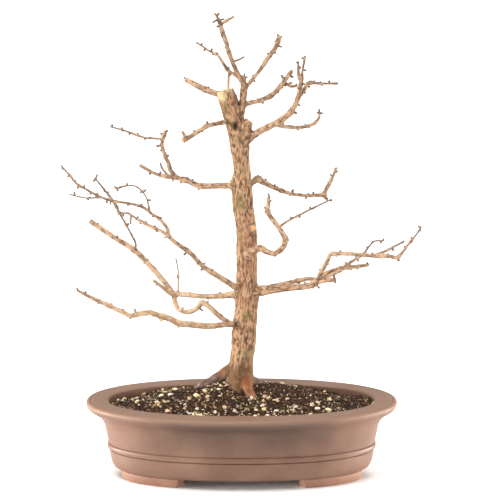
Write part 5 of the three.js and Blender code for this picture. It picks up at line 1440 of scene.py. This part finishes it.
def sum_around(values):
    """The sum of the values of every corner's neighbours."""
    total = np.bincount(ends[:, 0], values[ends[:, 1]], len(places))
    return total + np.bincount(ends[:, 1], values[ends[:, 0]], len(places))


# Where two shells met, the bark is drawn together into a soft collar
places = read(bonsai.data.vertices, "co", np.float32, 3).astype(float) / MM
ends = read(bonsai.data.edges, "vertices", np.int32, 2)
edge_of = read(bonsai.data.loops, "edge_index", np.int32)
numbers = read(bonsai.data.attributes["shell_number"].data, "value", np.int32)
numbers = np.repeat(numbers, read(bonsai.data.polygons, "loop_total", np.int32))
lowest = np.full(len(ends), numbers.max())
highest = np.full(len(ends), numbers.min())
np.minimum.at(lowest, edge_of, numbers)
np.maximum.at(highest, edge_of, numbers)
seams = np.flatnonzero((lowest != highest) & (lowest >= 0))
base_girths = np.array([TRUNK_STATIONS[TRUNK_MIDDLE][3]]
                       + [limb["girth"][0] for limb in tree_limbs + ROOTS])
spread = SEAM_REACH * np.minimum(base_girths[lowest[seams]], base_girths[highest[seams]])
seam_tree = KDTree(len(seams))
for at, seam in enumerate(seams):
    seam_tree.insert(places[ends[seam]].mean(axis=0), at)
seam_tree.balance()
near = [seam_tree.find(p) for p in places]
seam_gap = np.array([n[2] for n in near])
nearest = [n[1] for n in near]
pull = SEAM_PULL * np.clip(1 - seam_gap / spread[nearest], 0, 1)[:, None]
neighbours = np.bincount(ends.ravel(), minlength=len(places))[:, None]
for _ in range(SEAM_ROUNDS):
    around = np.stack([sum_around(axis) for axis in places.T], axis=1)
    places += pull * (around / neighbours - places)
# The join leaves its new corners without values, so they take the mean of their neighbours
known = (read(bonsai.data.attributes["girth"].data, "value", np.float32) > 0).astype(float)
known_around = np.maximum(sum_around(known), 1)
for name in ("girth", "furrow"):
    values = read(bonsai.data.attributes[name].data, "value", np.float32)
    values = np.where(known > 0, values, sum_around(known * values) / known_around)
    bonsai.data.attributes[name].data.foreach_set("value", values.astype(np.float32))
low, high = (np.array(corner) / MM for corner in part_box("tree"))
places = np.clip(places, low, high)
bonsai.data.vertices.foreach_set("co", (places * MM).astype(np.float32).ravel())


def near_places(spots):
    """How near every corner is to the nearest of these spots, from 0 at its reach to 1."""
    best = np.zeros(len(places))
    for x, y, z, reach in spots:
        gap = np.linalg.norm(places - (x, y, z), axis=1) / reach
        best = np.maximum(best, np.clip(PLACE_STEEPNESS * (1 - gap), 0, 1))
    return best


on_limb = np.array([highest[seam] <= len(tree_limbs) for seam in seams])[nearest]
# Painted shade along the seam where a limb leaves the trunk or another limb
crease_shade = CREASE_SHADE * on_limb * np.clip(1 - seam_gap / CREASE_SHADE_REACH, 0, 1)
for name, _, _, spots in BARK_PLACES:
    values = near_places(spots)
    if name == "painted_crevice_shade":
        values = np.maximum(values, crease_shade)
    layer = bonsai.data.attributes.new(name, "FLOAT", "POINT")
    layer.data.foreach_set("value", values.astype(np.float32))
bonsai.data.attributes.remove(bonsai.data.attributes["shell_number"])
shade_smooth(bonsai, BARK_CRISPEST)
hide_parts("tree")
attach(bonsai, "root")
